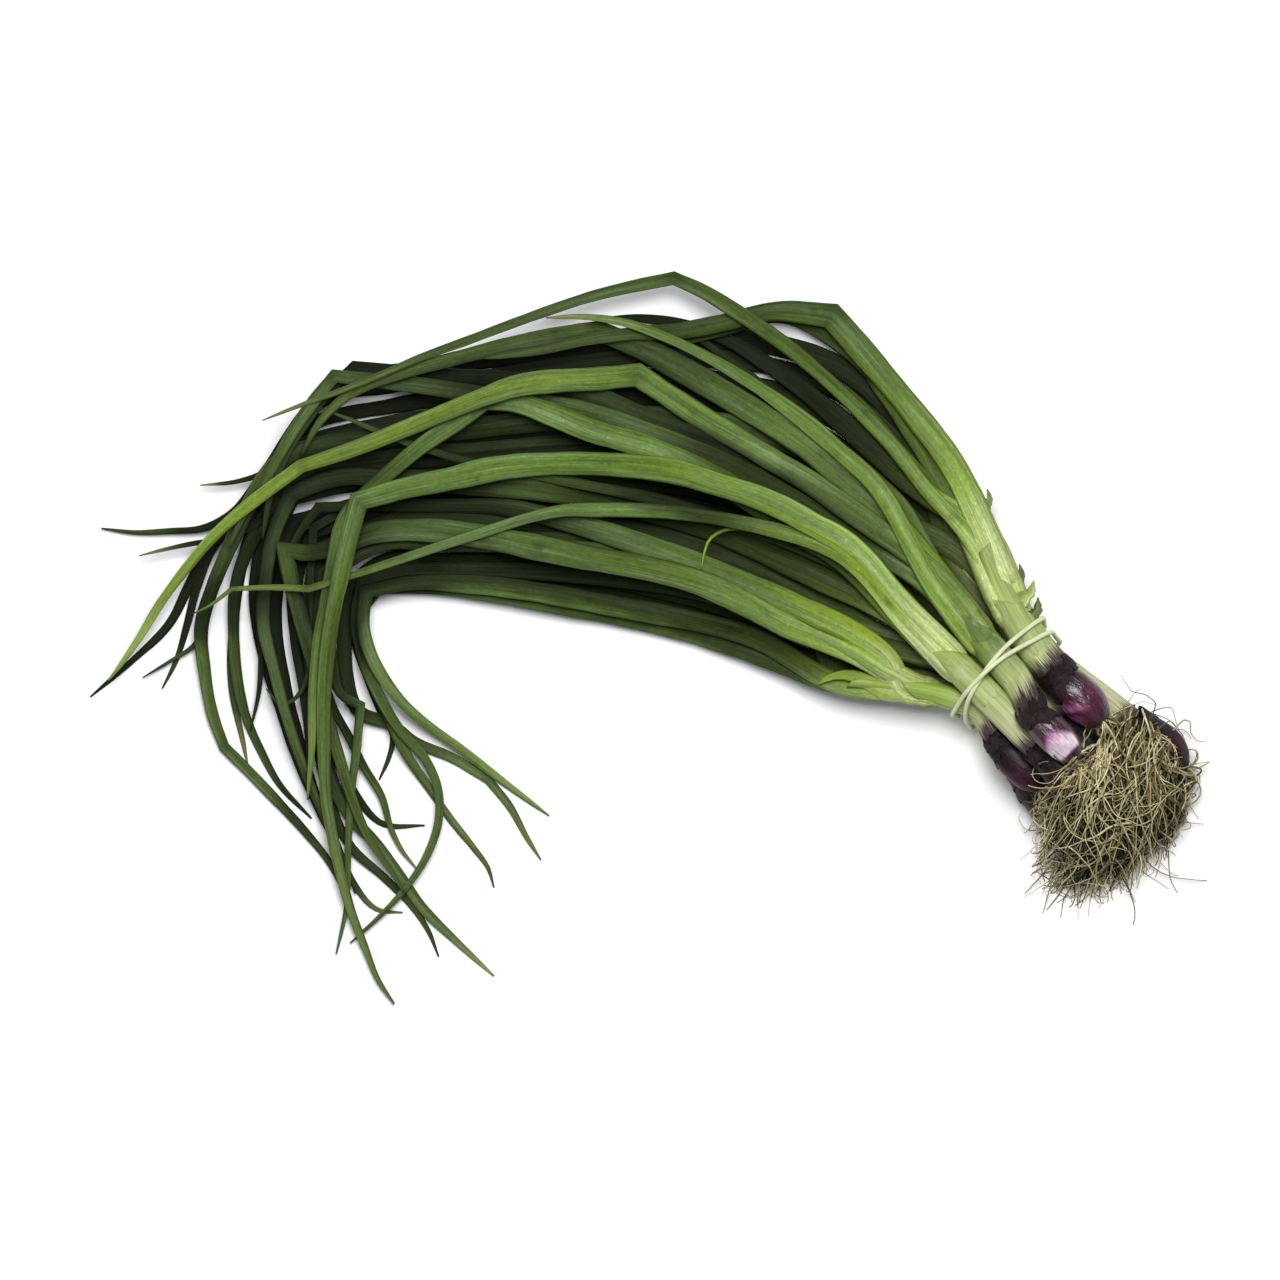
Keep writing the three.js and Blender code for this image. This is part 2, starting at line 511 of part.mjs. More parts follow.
const bladeSection = [[1, 0], [0.5, 1], [-0.5, 1], [-1, 0], [-0.5, -1], [0.5, -1]];

function bladeSolid(blade) {
  const rings = blade.rings.map((ring, i) => {
    const { way, mitre } = heading(blade.rings, i);
    return bladeSection.map(([side, up]) => {
      const out = side * ring.half * mitre;
      return aside(ring, way, out, up * ring.thick);
    });
  });
  return toSolid(loft(rings));
}

function roundRing(centre, way, radius, sides, turn = 0) {
  return Array.from({ length: sides }, (_, j) => {
    const a = ((j + 0.5 + turn) / sides) * 2 * Math.PI;
    return aside(centre, way, Math.cos(a) * radius, Math.sin(a) * radius);
  });
}

const stemSides = 10;

function stemSolid(stem, grow = 0) {
  const rings = stem.rings.map((ring, i) => {
    if (i > 0) {
      return roundRing(ring, heading(stem.rings, i).way.map((v) => -v), ring.half + grow, stemSides);
    }
    const end = { x: ring.x + direction[0] * grow, y: ring.y + direction[1] * grow, z: ring.z };
    return roundRing(end, direction, ring.half + grow, stemSides);
  });
  return toSolid(loft(rings));
}

function leafyStemSolid(number, laid) {
  const parts = [stemSolid(laid.stems.get(number))];
  for (const blade of laid.blades.filter((b) => b.onion === number)) parts.push(bladeSolid(blade));
  return wasm.Manifold.union(parts);
}

// A bulb's radius along it, from the neck to the root plate, as shares of its widest.
const bulbShares = [[0, 0.72], [0.12, 0.8], [0.3, 0.95], [0.45, 1], [0.55, 1], [0.7, 0.95], [0.84, 0.78],
  [0.94, 0.55], [1, 0.36]];
const bulbSides = 12;

function bulbRings(onion, grow = 0) {
  const start = bulbStart(onion) + gap - grow;
  const centres = bulbShares.map(([s]) => {
    const along = start + s * (bulbLength - gap + 2 * grow);
    const at = axisAt(onion, along);
    const [x, y] = place(along, at.across);
    return { x, y, z: at.up };
  });
  return centres.map((centre, i) => {
    const neck = i === 0 ? onion.radius * 0.9 : 0;
    const radius = Math.max(onion.bulb.radius * bulbShares[i][1], neck) + grow;
    return roundRing(centre, direction, radius, bulbSides);
  });
}

// A number from 0 to 1 that is the same every time, from a seed that it moves on.
function makeDraw(seed) {
  let state = seed >>> 0;
  return () => {
    state = (Math.imul(state, 1664525) + 1013904223) >>> 0;
    return state / 4294967296;
  };
}

// The tangle is an oval in plan, and its roots turn back near its edge.
const matMiddle = { x: 168, y: -57 };
const matReach = { x: 27, y: 33 };
const turnBackAt = 0.92; // as a share of the reach
const plateTaper = 0.3;
const plateSides = 8;
const rootSides = 3;
const heartPlace = new THREE.Vector3(169, -61, 10.5);
const heartSize = new THREE.Vector3(21.5, 27.5, 11);
const heartFoot = 1.2; // the heart keeps this far off the table
const heartLumps = 0.13;
const rootRadius = 0.8;
const rootTaper = 0.45;
const rootsPerOnion = 5;
const rootsHome = 2;
const rootStep = 9.5;
const rootFirstStep = 4;
const rootLean = { yaw: -0.2, pitch: 0.26 }; // how roots leave their bulb on average, in radians
const rootSpread = { yaw: 3.4, pitch: 1.3 };
const rootWander = { yaw: 1.5, pitch: 0.7 };
const rootSink = 0.22; // how much lower a root points after each step
const rootSeed = 20;

// How far a point is outside a bulb, as if the bulb were an egg, with the way out.
function outOfBulb(onion, p) {
  const at = axisAt(onion, onion.bulb.along);
  const [x, y] = place(onion.bulb.along, at.across);
  const rel = [p.x - x, p.y - y];
  const along = rel[0] * direction[0] + rel[1] * direction[1];
  const across = rel[0] * sideways[0] + rel[1] * sideways[1];
  const up = p.z - at.up;
  const long = bulbLength * 0.54;
  const wide = onion.bulb.radius;
  const share = Math.hypot(along / long, across / wide, up / wide);
  return { share, along, across, up };
}

function clearOfBulbs(p, margin) {
  for (const onion of onions) {
    const { share, across, up } = outOfBulb(onion, p);
    const wanted = 1 + margin / onion.bulb.radius;
    if (share >= wanted) continue;
    const flat = Math.hypot(across, up) || 1;
    const push = (wanted - share) * onion.bulb.radius;
    p.x += (push * across * sideways[0]) / flat;
    p.y += (push * across * sideways[1]) / flat;
    p.z += (push * Math.max(up, 0.2 * flat)) / flat;
  }
}

// Roots that stray from the tangle, each by its own way out of the heart: x, y and height.
const strayRoots = [
  [[176, -60, 12], [181, -46, 20], [185, -30, 10], [178, -21, 4], [170, -16, 2]],
  [[176, -58, 14], [188, -48, 20], [193, -36, 12], [189, -27, 4], [180, -22, 2]],
  [[178, -62, 12], [190, -54, 14], [195, -44, 8], [195, -33, 3], [197, -36, 2]],
  [[178, -66, 10], [189, -62, 7], [196, -57, 4], [197, -63, 2]],
  [[172, -72, 9], [184, -73, 5], [191, -68, 3], [196, -67, 2]],
  [[164, -74, 9], [160, -86, 5], [157, -92, 3], [147, -96, 2]],
  [[166, -74, 9], [164, -87, 5], [161, -94, 3], [160, -100, 2]],
  [[158, -68, 9], [149, -76, 6], [146, -84, 3], [150, -92, 2]],
  [[157, -62, 8], [146, -64, 5], [139, -68, 3], [135, -64, 2]],
];

// A root that goes home runs straight into the heart, and so ties its bulb's roots to the rest.
function rootPath(onion, draw, goesHome) {
  const end = bulbEnd(onion);
  const at = axisAt(onion, end);
  const [x, y] = place(end + 2 * gap, at.across);
  let yaw = bunchTurn + rootLean.yaw + (draw() - 0.5) * rootSpread.yaw;
  let pitch = rootLean.pitch + (draw() - 0.5) * rootSpread.pitch;
  const path = [{ x, y, z: at.up }];
  const steps = 4 + Math.floor(draw() * 2);
  for (let i = 0; i < steps; i++) {
    const p = { ...path[path.length - 1] };
    const step = i === 0 ? rootFirstStep : rootStep;
    const home = Math.atan2(heartPlace.y - p.y, heartPlace.x - p.x);
    if (goesHome && i > 0) {
      const left = Math.hypot(heartPlace.x - p.x, heartPlace.y - p.y);
      if (left < 1.5 * rootStep) break;
      yaw = home;
      pitch = Math.atan2(heartPlace.z - p.z, left);
    }
    p.x += Math.cos(yaw) * Math.cos(pitch) * step;
    p.y += Math.sin(yaw) * Math.cos(pitch) * step;
    p.z = Math.max(rootRadius + 0.2, p.z + Math.sin(pitch) * step);
    clearOfBulbs(p, rootRadius + 1.2);
    path.push(p);
    const far = Math.hypot((p.x - matMiddle.x) / matReach.x, (p.y - matMiddle.y) / matReach.y);
    const turn = Math.atan2(Math.sin(home - yaw), Math.cos(home - yaw));
    yaw += far > turnBackAt ? turn * 0.6 : (draw() - 0.5) * rootWander.yaw;
    pitch = pitch * 0.5 - rootSink + (draw() - 0.5) * rootWander.pitch;
  }
  return path;
}

function rootSolid(path) {
  const rings = path.map((p, i) => {
    const { way } = heading(path, i);
    return roundRing(p, way, rootRadius * (1 - (rootTaper * i) / path.length), rootSides, i * 0.1);
  });
  return toSolid(loft(rings));
}

// The tangle: a plate under each bulb, the roots, and a heart that they wrap. The bulbs and the
// stems are cut out of it.
function rootMatSolid(stems) {
  const draw = makeDraw(rootSeed);
  const parts = [];
  for (const onion of onions) {
    const end = bulbEnd(onion);
    const at = axisAt(onion, end);
    const plate = [0, 1].map((out) => {
      const [x, y] = place(end + gap + out * plateDepth, at.across);
      return roundRing({ x, y, z: at.up }, direction, plateRadius * (1 - plateTaper * out), plateSides);
    });
    parts.push(toSolid(loft(plate)));
    for (let i = 0; i < rootsPerOnion; i++) {
      parts.push(rootSolid(rootPath(onion, draw, i < rootsHome)));
    }
  }
  const heart = new THREE.IcosahedronGeometry(1, 3);
  heart.deleteAttribute("normal");
  heart.deleteAttribute("uv");
  const spots = heart.attributes.position;
  for (let i = 0; i < spots.count; i++) {
    const p = new THREE.Vector3().fromBufferAttribute(spots, i);
    const lump = 1 + heartLumps * Math.sin(7 * p.x + 2) * Math.sin(6 * p.y + 5 * p.z);
    p.multiplyScalar(lump).multiply(heartSize).add(heartPlace);
    spots.setXYZ(i, p.x, p.y, Math.max(heartFoot, p.z));
  }
  parts.push(toSolid(heart));
  for (const stray of strayRoots) parts.push(rootSolid(stray.map(([x, y, z]) => ({ x, y, z }))));
  let mat = wasm.Manifold.union(parts);
  for (const onion of onions) mat = mat.subtract(toSolid(loft(bulbRings(onion, gap))));
  for (const stem of stems.values()) mat = mat.subtract(stemSolid(stem, gap));
  const pieces = mat.decompose().sort((a, b) => b.volume() - a.volume());
  return pieces[0];
}

const bandRadius = 0.85;
const bandAlong = -1.2; // where the band lies at the bunch's sides
const bandTilt = 6.5; // it lies this much nearer to the leaves on top
const bandSlant = 4.4; // how far each turn strays from their middle line
const bandSteps = 76;
const bandSides = 5;
const bandCentre = [0, 18]; // across and up, inside the stems
const slantShare = 1.08; // a stem that splays is wider across the band than its own radius
const crossAt = 1.85; // where one turn hops over the other, as an angle round the bunch
const hopLength = 0.32; // in radians round the bunch

// The band lies round the stems like a string pulled tight, so it follows their convex outline.
function bandOutline(stems, along) {
  const points = [];
  for (const stem of stems.values()) {
    const i = stem.rings.findIndex((ring) => ring.along <= along);
    const [a, b] = [stem.rings[i - 1], stem.rings[i]];
    const f = (a.along - along) / (a.along - b.along);
    const across = a.across * (1 - f) + b.across * f;
    const up = a.z * (1 - f) + b.z * f;
    const radius = a.half * (1 - f) + b.half * f + bandRadius + gap;
    for (let j = 0; j < 24; j++) {
      const angle = (j / 24) * 2 * Math.PI;
      points.push([across + Math.cos(angle) * radius * slantShare, up + Math.sin(angle) * radius]);
    }
  }
  points.sort((p, q) => p[0] - q[0] || p[1] - q[1]);
  const half = (list) => {
    const hull = [];
    for (const p of list) {
      while (hull.length > 1) {
        const [a, b] = hull.slice(-2);
        if ((b[0] - a[0]) * (p[1] - a[1]) - (b[1] - a[1]) * (p[0] - a[0]) > 0) break;
        hull.pop();
      }
      hull.push(p);
    }
    hull.pop();
    return hull;
  };
  return [...half(points), ...half(points.reverse())];
}

function outlineReach(outline, centre, angle) {
  const d = [Math.cos(angle), Math.sin(angle)];
  let reach = 0;
  outline.forEach((p, i) => {
    const q = outline[(i + 1) % outline.length];
    const e = [q[0] - p[0], q[1] - p[1]];
    const det = d[0] * -e[1] + e[0] * d[1];
    if (Math.abs(det) < 1e-9) return;
    const r = [p[0] - centre[0], p[1] - centre[1]];
    const t = (r[0] * -e[1] + e[0] * r[1]) / det;
    const s = (d[0] * r[1] - d[1] * r[0]) / det;
    if (t > 0 && s >= -1e-9 && s <= 1 + 1e-9) reach = Math.max(reach, t);
  });
  return reach;
}

function bandGeometry(stems) {
  const line = Array.from({ length: bandSteps }, (_, i) => {
    const turn = (i / bandSteps) * 4 * Math.PI;
    const angle = crossAt + turn;
    const tilt = bandTilt * Math.max(-0.3, Math.sin(angle));
    const along = bandAlong - tilt + bandSlant * Math.sin(turn / 2);
    const hop = (2 * bandRadius + gap) * Math.exp(-(((turn - 2 * Math.PI) / hopLength) ** 2));
    const reach = outlineReach(bandOutline(stems, along), bandCentre, angle) + hop;
    const [x, y] = place(along, bandCentre[0] + Math.cos(angle) * reach);
    return new THREE.Vector3(x, y, bandCentre[1] + Math.sin(angle) * reach);
  });
  const outward = new THREE.Vector3(...place(0, bandCentre[0]), bandCentre[1]);
  const rings = line.map((p, i) => {
    const before = line[(i + bandSteps - 1) % bandSteps];
    const after = line[(i + 1) % bandSteps];
    const way = after.clone().sub(before).normalize();
    const out = p.clone().sub(outward);
    out.addScaledVector(way, -out.dot(way)).normalize();
    const side = way.clone().cross(out);
    return Array.from({ length: bandSides }, (_, j) => {
      const a = ((j + 0.25) / bandSides) * 2 * Math.PI;
      const turned = out.clone().multiplyScalar(Math.cos(a)).addScaledVector(side, Math.sin(a));
      return p.clone().addScaledVector(turned, bandRadius);
    });
  });
  return toGeometry(toSolid(loft(rings, true)));
}

const finishes = {
  leafyStem: new THREE.MeshStandardMaterial({ color: 0x4f7a2e, roughness: 0.5 }),
  bulb: new THREE.MeshStandardMaterial({ color: 0x4a1836, roughness: 0.3 }),
  roots: new THREE.MeshStandardMaterial({ color: 0xa3935f, roughness: 0.9 }),
  band: new THREE.MeshStandardMaterial({ color: 0xdfe3bf, roughness: 0.6 }),
};

function named(name, geometry, material) {
  const mesh = new THREE.Mesh(geometry, material);
  mesh.name = name;
  return mesh;
}

const bunch = new THREE.Group();
const laid = layOut();
onions.forEach((onion, i) => {
  const leafyStem = toGeometry(leafyStemSolid(i + 1, laid));
  const bulb = toGeometry(toSolid(loft(bulbRings(onion))));
  bunch.add(named(`onion_${i + 1}_leafy_stem`, leafyStem, finishes.leafyStem));
  bunch.add(named(`onion_${i + 1}_bulb`, bulb, finishes.bulb));
});
bunch.add(named("root_tangle", toGeometry(rootMatSolid(laid.stems)), finishes.roots));
bunch.add(named("rubber_band", bandGeometry(laid.stems), finishes.band));
bunch.position.set(-middle[0], -middle[1], 0);

export default bunch;
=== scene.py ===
# A tied bunch of eight red spring onions on a pale table, seen from straight above.
# Lengths are millimetres in the plan that the routes are drawn in, and metres once a mesh is made.

import math
import random

import bpy
import numpy as np
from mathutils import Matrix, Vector


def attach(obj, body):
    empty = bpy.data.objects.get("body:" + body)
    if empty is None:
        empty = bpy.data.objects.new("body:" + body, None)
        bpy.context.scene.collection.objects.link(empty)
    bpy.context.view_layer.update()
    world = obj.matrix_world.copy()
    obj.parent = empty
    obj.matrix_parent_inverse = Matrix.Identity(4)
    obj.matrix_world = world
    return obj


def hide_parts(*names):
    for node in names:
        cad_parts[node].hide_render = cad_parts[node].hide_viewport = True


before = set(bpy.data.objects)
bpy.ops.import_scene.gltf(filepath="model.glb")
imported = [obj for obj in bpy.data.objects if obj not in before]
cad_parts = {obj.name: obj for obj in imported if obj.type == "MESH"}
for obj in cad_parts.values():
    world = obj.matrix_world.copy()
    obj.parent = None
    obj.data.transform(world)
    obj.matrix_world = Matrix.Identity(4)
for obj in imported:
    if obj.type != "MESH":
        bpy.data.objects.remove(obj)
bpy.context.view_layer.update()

print("frame loaded with", len(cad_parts), "nodes")

# How the bunch is laid out. The same rules and routes shape the solids.
pile = {
    "middle": (-1.65, 0.5),  # this point of the plan is the origin
    "bandPlace": (130, -14),
    "turn": -math.pi / 4,  # the bulbs point this way
    "stemReach": 40,  # from the band to where the last leaf leaves the sheath
    "stemStep": 10,
    "stemWaist": 0.55,  # one more ring this far from the band to the bulb
    "stemPinned": 3,  # rings of a stem that stay at their own height
    "stemEndShare": 0.88,  # a stem is slimmer where its last leaves part
    "stemTaper": (10, 30),  # from here out, over this length
    "stemBend": 0.3,  # of the bulb's length: a stem is straight from here to its bulb
    "splayStart": 0.6,  # how soon a stem splays
    "bulbLength": 25,
    "gap": 0.35,
    "lieGap": 0.56,  # between leaves that lie on each other
    "stemLift": 2.3,
    "firstBladeOut": 17,
    "bladeSpacing": 3,
    "bladesInTurn": 4,
    "bladeLean": 0.35,
    "freeReach": 66,  # a route's points count from this far out
    "rooted": 14,
    "nestReach": 62,
    "roundTop": 0.15,  # the share of a round stem that counts as its top
    "creaseWidth": 1.18,
    "creaseThickness": 0.55,
    "thinnest": 0.36,
    "droopRadius": 260,
    "sampleStep": 3,
    "settleRounds": 400,
    "settleShare": 0.5,
    "leastHold": 0.16,  # a spot that the free rings hardly carry lifts nothing
    "curveStep": 2,
    "ringsLeast": 4,
    "ringsMost": 27,
    "ringsTurn": 0.42,
}

# The eight stems, the lowest first: place at the band, radius, splay of the leaf end, and bulb.
onions = [
    dict(across=3.2, up=8.7, radius=6.0, splay=4, bulb=dict(along=53, across=1, up=9.1, radius=9.6)),
    dict(across=-13.5, up=8.6, radius=5.9, splay=-40, bulb=dict(along=40, across=-19, up=9, radius=9.4)),
    dict(across=15.2, up=10.2, radius=5.8, splay=18, bulb=dict(along=57, across=20, up=9.5, radius=10)),
    dict(across=-2.4, up=18.9, radius=4.7, splay=-22, bulb=dict(along=38.5, across=1.8, up=23, radius=7)),
    dict(across=-15, up=19.9, radius=5, splay=-42, bulb=dict(along=25, across=-18.6, up=23, radius=7.1)),
    dict(across=14.6, up=24, radius=6.8, splay=28, bulb=dict(along=23, across=13.2, up=30, radius=9)),
    dict(across=-9.8, up=29.7, radius=5.6, splay=-10, bulb=dict(along=38, across=-10, up=33.5, radius=7)),
    dict(across=2, up=31, radius=5.7, splay=6, bulb=dict(along=25.5, across=-3.2, up=44.5, radius=7.3)),
]

# The edges of the fan that the lower leaves spread between.
lowerEdge = [(62, -12), (40, -6), (20, 1), (0, 6), (-25, 11), (-50, 15), (-75, 17), (-95, 18)]
upperEdge = [(104, 66), (88, 88), (70, 102), (50, 109), (22, 112), (-15, 110), (-55, 104), (-90, 99)]


def leafRow(onion, half, tone, route, lane=None, early=False, blunt=False):
    return dict(onion=onion, half=half, tone=tone, route=route, lane=lane, early=early, blunt=blunt)


# The leaves from the lowest to the topmost: onion, half width, tone and route. A third number in a
# route marks a crease. A leaf with a lane crosses the fan there before its route begins. An early
# leaf parts from its stem at once, and a blunt one has no long tip.
leaves = [
    leafRow(2, 4, "deep", [(-118, 26, 1), (-122, 8), (-121, -12), (-116, -32), (-107, -53), (-95, -67),
            (-80, -67.5)], lane=0.25),
    leafRow(3, 4.1, "deep", [(-112, 94, 1), (-125, 79), (-136, 62), (-147, 47), (-158, 34), (-165, 20),
            (-172, 6), (-186, -8), (-201, -21)], lane=0.97),
    leafRow(2, 3.6, "deep", [(-104, 12, 1), (-105, 0), (-101, -13), (-96, -26), (-91.5, -35), (-93, -43),
            (-96.5, -51)], lane=0.05),
    leafRow(1, 4.1, "deep", [(-128, 42, 1), (-133, 25), (-134, 5), (-131, -15), (-126, -35), (-120, -55),
            (-113, -72), (-106, -88), (-97, -98), (-88, -99)], lane=0.4),
    leafRow(3, 4, "deep", [(-126, 74), (-136, 59), (-146, 45), (-156, 34), (-162, 20), (-166, 5),
            (-170, -8), (-175, -18)], lane=0.82),
    leafRow(2, 4, "deep", [(-124, 36, 1), (-127, 18), (-126, 0), (-122, -20), (-118, -40), (-114, -60),
            (-106, -76), (-95.5, -85.5), (-86, -95), (-78.5, -106), (-75, -115)], lane=0.35),
    leafRow(1, 4.3, "deep", [(-131, 52, 1), (-138, 35), (-141, 15), (-138, -6), (-132, -25), (-126, -43),
            (-118, -62), (-110, -78), (-105, -92)], lane=0.5),
    leafRow(3, 3.3, "deep", [(-118, 84), (-127, 72), (-136, 61), (-147, 57), (-161, 55.5)], lane=0.9),
    leafRow(1, 4, "deep", [(-133, 58), (-142, 40), (-147, 22), (-149, 5), (-150, -10), (-149, -22),
            (-146, -36), (-144, -46)], lane=0.6),
    leafRow(4, 3.6, "deep", [(-121, 38, 1), (-126, 22), (-127, 2), (-124, -18), (-122, -36),
            (-122, -58)], lane=0.35),
    leafRow(3, 4.2, "mid", [(-127, 58), (-136, 46), (-143, 34), (-148, 20), (-149, 5), (-148, -12),
            (-145, -27), (-139, -41), (-133, -52), (-121, -65)], lane=0.6),
    leafRow(4, 4.6, "mid", [(-118, 30, 1), (-121, 10), (-120, -10), (-118, -30), (-114, -50), (-106, -65),
            (-98.5, -73), (-90, -84), (-81, -97), (-69, -109), (-55, -122)], lane=0.28),
    leafRow(1, 3, "deep", [(-127, 50, 1), (-136, 30), (-140, 12), (-139, -5), (-140, -20),
            (-143, -33)], lane=0.5),
    leafRow(3, 3.4, "deep", [(-131, 66), (-141, 54), (-150, 45), (-160, 40), (-172, 39), (-185, 38.5),
            (-197, 40)], lane=0.75),
    leafRow(1, 3, "deep", [(-129, 53), (-140, 42), (-152, 36), (-163, 34.5), (-175, 32),
            (-183, 30)], lane=0.55),
    leafRow(4, 4.1, "mid", [(-108, 18, 1), (-109, 2), (-108, -14), (-104, -26), (-92, -31), (-84, -37),
            (-70, -43), (-57, -51, 1), (-49, -61), (-43, -72), (-38, -80)], lane=0.12),
    leafRow(1, 2.8, "deep", [(-131, 59), (-143, 46), (-153, 30), (-158, 12), (-163, -2), (-172, -8),
            (-182, -14)], lane=0.65),
    leafRow(1, 4.2, "mid", [(-134, 62), (-144, 46), (-151, 31), (-157, 17), (-160.5, 5), (-159.5, -12),
            (-156.5, -28), (-152.5, -39, 1), (-144.5, -47), (-134, -58), (-123, -70), (-115, -80),
            (-109, -92), (-106, -103)], lane=0.68),
    leafRow(1, 2.8, "mid", [(-120, 40, 1), (-121, 20), (-120, 2), (-121, -10), (-126, -21), (-131, -24),
            (-137, -18)], lane=0.45),
    leafRow(4, 3.4, "mid", [(-116, 24, 1), (-118, 6), (-117, -12), (-113, -25), (-108, -34), (-102, -46),
            (-95.5, -57), (-92, -69), (-88.5, -76), (-83, -83)], lane=0.22),
    leafRow(4, 3.1, "mid", [(-112, 25, 1), (-114, 8), (-113, -8), (-110, -20), (-103, -24, 1),
            (-104.5, -40), (-106.5, -56), (-107.5, -72), (-108.5, -98), (-112, -114)], lane=0.2),
    leafRow(5, 3.6, "mid", [(78, -21), (63, -15.5), (47, -9.3), (33, -3.2), (15, 2.6), (-5, 7.2),
            (-25, 11.2), (-50, 15.7), (-75, 18.7), (-97, 19, 1), (-103, 10), (-103, -3), (-99, -15),
            (-93, -28), (-87, -41), (-79, -53), (-70, -66), (-62, -76), (-57, -83), (-55, -90)]),
    leafRow(6, 3.2, "mid", [(103, 55), (92, 67), (82, 79), (75, 86.5), (70, 91)], blunt=True),
    leafRow(5, 3.2, "mid", [(87, -11), (72, -2), (58, 4.5), (40, 11), (20, 17), (-5, 21), (-35, 24),
            (-65, 25), (-90, 24), (-102, 21, 1), (-104.5, 8), (-102, -7), (-96, -21), (-88, -34),
            (-80, -43), (-75, -55), (-75, -66), (-79, -78), (-86, -89), (-96, -100),
            (-107, -110)], early=True),
    leafRow(8, 4, "deep", [(82, 38), (64, 50), (42, 62), (20, 71), (0, 79), (-20, 88), (-45, 93),
            (-70, 95), (-90, 96.5), (-105, 98, 1), (-113, 90), (-121, 80), (-129, 67), (-135, 52),
            (-138, 36)]),
    leafRow(6, 4.2, "deep", [(100, 53), (90, 61), (80, 70), (70, 79), (58, 89), (44, 99), (30, 107.5),
            (16, 113), (3, 115.5), (-8, 116), (-16, 115.5)]),
    leafRow(5, 4.4, "mid", [(88, -8.5), (74, 2.5), (58, 10), (45, 16), (30, 22), (12, 29), (-8, 36),
            (-28, 42), (-48, 47), (-70, 48), (-95, 48), (-118, 47.5, 1), (-125, 38),
            (-131, 26)], early=True),
    leafRow(7, 4.3, "mid", [(80, 14), (66, 20), (45, 30), (30, 37), (10, 44), (-15, 50), (-40, 54),
            (-65, 56), (-90, 58), (-112, 58), (-128, 52, 1), (-134, 38), (-137, 22), (-138, 6),
            (-134, -12), (-129, -30), (-123, -48), (-116, -65), (-110, -80)]),
    leafRow(8, 3.4, "mid", [(90, 49), (84, 55), (72, 66), (60, 77), (46, 88), (32, 99), (20, 108),
            (11, 114)]),
    leafRow(5, 4.5, "mid", [(87, -12), (74, -4.5), (62, 0.5), (50, 5), (35, 13), (20, 20), (0, 25.5),
            (-20, 29), (-40, 33), (-60, 37), (-80, 39), (-98, 38), (-112, 33), (-122, 31), (-130, 32, 1),
            (-127, 18), (-123, 3), (-119, -12), (-115, -28), (-110, -45), (-106, -58), (-100, -72),
            (-92, -84), (-87, -92)], early=True),
    leafRow(7, 2.6, "mid", [(82, 20), (66, 28), (45, 37), (25, 44), (5, 50), (-20, 55), (-45, 60),
            (-60, 63), (-75, 67), (-90, 72), (-104, 78), (-117, 83)]),
    leafRow(6, 4.5, "mid", [(112, 50), (103.5, 64.5), (95.5, 77.5), (88.5, 88), (82.5, 96.5, 1),
            (75, 103), (68, 108), (60, 113), (53, 116), (44, 116.5), (34, 113), (20, 109), (5, 106)]),
    leafRow(8, 4.5, "mid", [(84, 30), (70, 39), (50, 51), (35, 59), (10, 70), (-15, 79), (-40, 85),
            (-60, 88), (-80, 91), (-98, 93), (-112, 94.5, 1), (-119, 86), (-126, 76), (-133, 64),
            (-139, 53), (-145, 44), (-150, 33)]),
    leafRow(5, 3.8, "fresh", [(66, -9), (55, -5), (38, 1), (22, 5.5), (5, 9), (-12, 12), (-28, 15),
            (-47, 18), (-68, 20), (-88, 20), (-101, 17, 1), (-102, 5), (-99.5, -5), (-94.5, -14.5),
            (-87.5, -23.5), (-78.5, -31.5), (-66, -40.5), (-50.5, -52.5), (-35, -64)]),
    leafRow(7, 4.2, "fresh", [(78, 24), (68, 30), (55, 38), (40, 48), (25, 58), (15, 63), (0, 69),
            (-20, 75), (-35, 81), (-47, 85), (-58, 86, 1), (-68, 78), (-80, 70), (-91, 61), (-102, 51),
            (-108, 44), (-112, 30), (-115, 15), (-118, 0), (-120, -20), (-120.5, -40), (-122, -58)]),
    leafRow(8, 4.9, "mid", [(88, 43), (75, 55), (62, 66), (48, 76), (32, 86), (15, 96), (0, 104),
            (-17, 111, 1), (-32, 109), (-50, 105.5), (-70, 100.5), (-90, 95), (-108, 87), (-118, 77),
            (-124, 66)]),
    leafRow(6, 4.6, "mid", [(119.5, 47.5), (109.5, 64.5), (97.5, 80.5), (83.5, 97.5), (67, 116.5, 1),
            (46, 118), (28, 114), (12, 111), (-5, 110), (-20, 108), (-38, 104), (-58, 101)]),
    leafRow(8, 3.3, "fresh", [(96, 44), (79, 59), (70, 67), (58, 77.5), (44, 88), (30, 97), (18, 103.5),
            (6, 109), (-8, 114), (-22, 116), (-36, 115.7)]),
    leafRow(7, 1.3, "lime", [(80, 24), (70, 29.5), (55, 36), (45, 38.5), (35, 39.5), (28, 39), (23, 36),
            (21, 31), (20, 25)]),
    leafRow(7, 2.7, "fresh", [(80, 25), (68, 31), (50, 38), (40, 40.5), (25, 43.5), (10, 45.5),
            (-5, 46.3), (-18, 46.3), (-30, 46), (-42, 43.5), (-55, 39.5), (-75, 33), (-90, 28),
            (-105, 23), (-121, 18, 1), (-135, 18.5), (-149, 18, 1), (-157, 12), (-163, 9)]),
    leafRow(5, 1.2, "lime", [(88, -19), (80, -15.5), (73, -13), (67, -13.5), (62, -16)], early=True),
    leafRow(7, 4.4, "fresh", [(85, 26), (70, 35.5), (60, 41), (50, 46.5), (38, 51.5), (25, 55.5),
            (10, 60), (-5, 62), (-20, 63), (-38, 62.8), (-55, 61), (-70, 57.5), (-87, 54),
            (-103, 49.5, 1), (-106, 38), (-109, 25), (-112, 12), (-114.5, -4), (-116, -22), (-116, -40),
            (-115.5, -56), (-113, -72), (-110, -86), (-106, -100), (-101, -113), (-97, -123),
            (-91, -132)]),
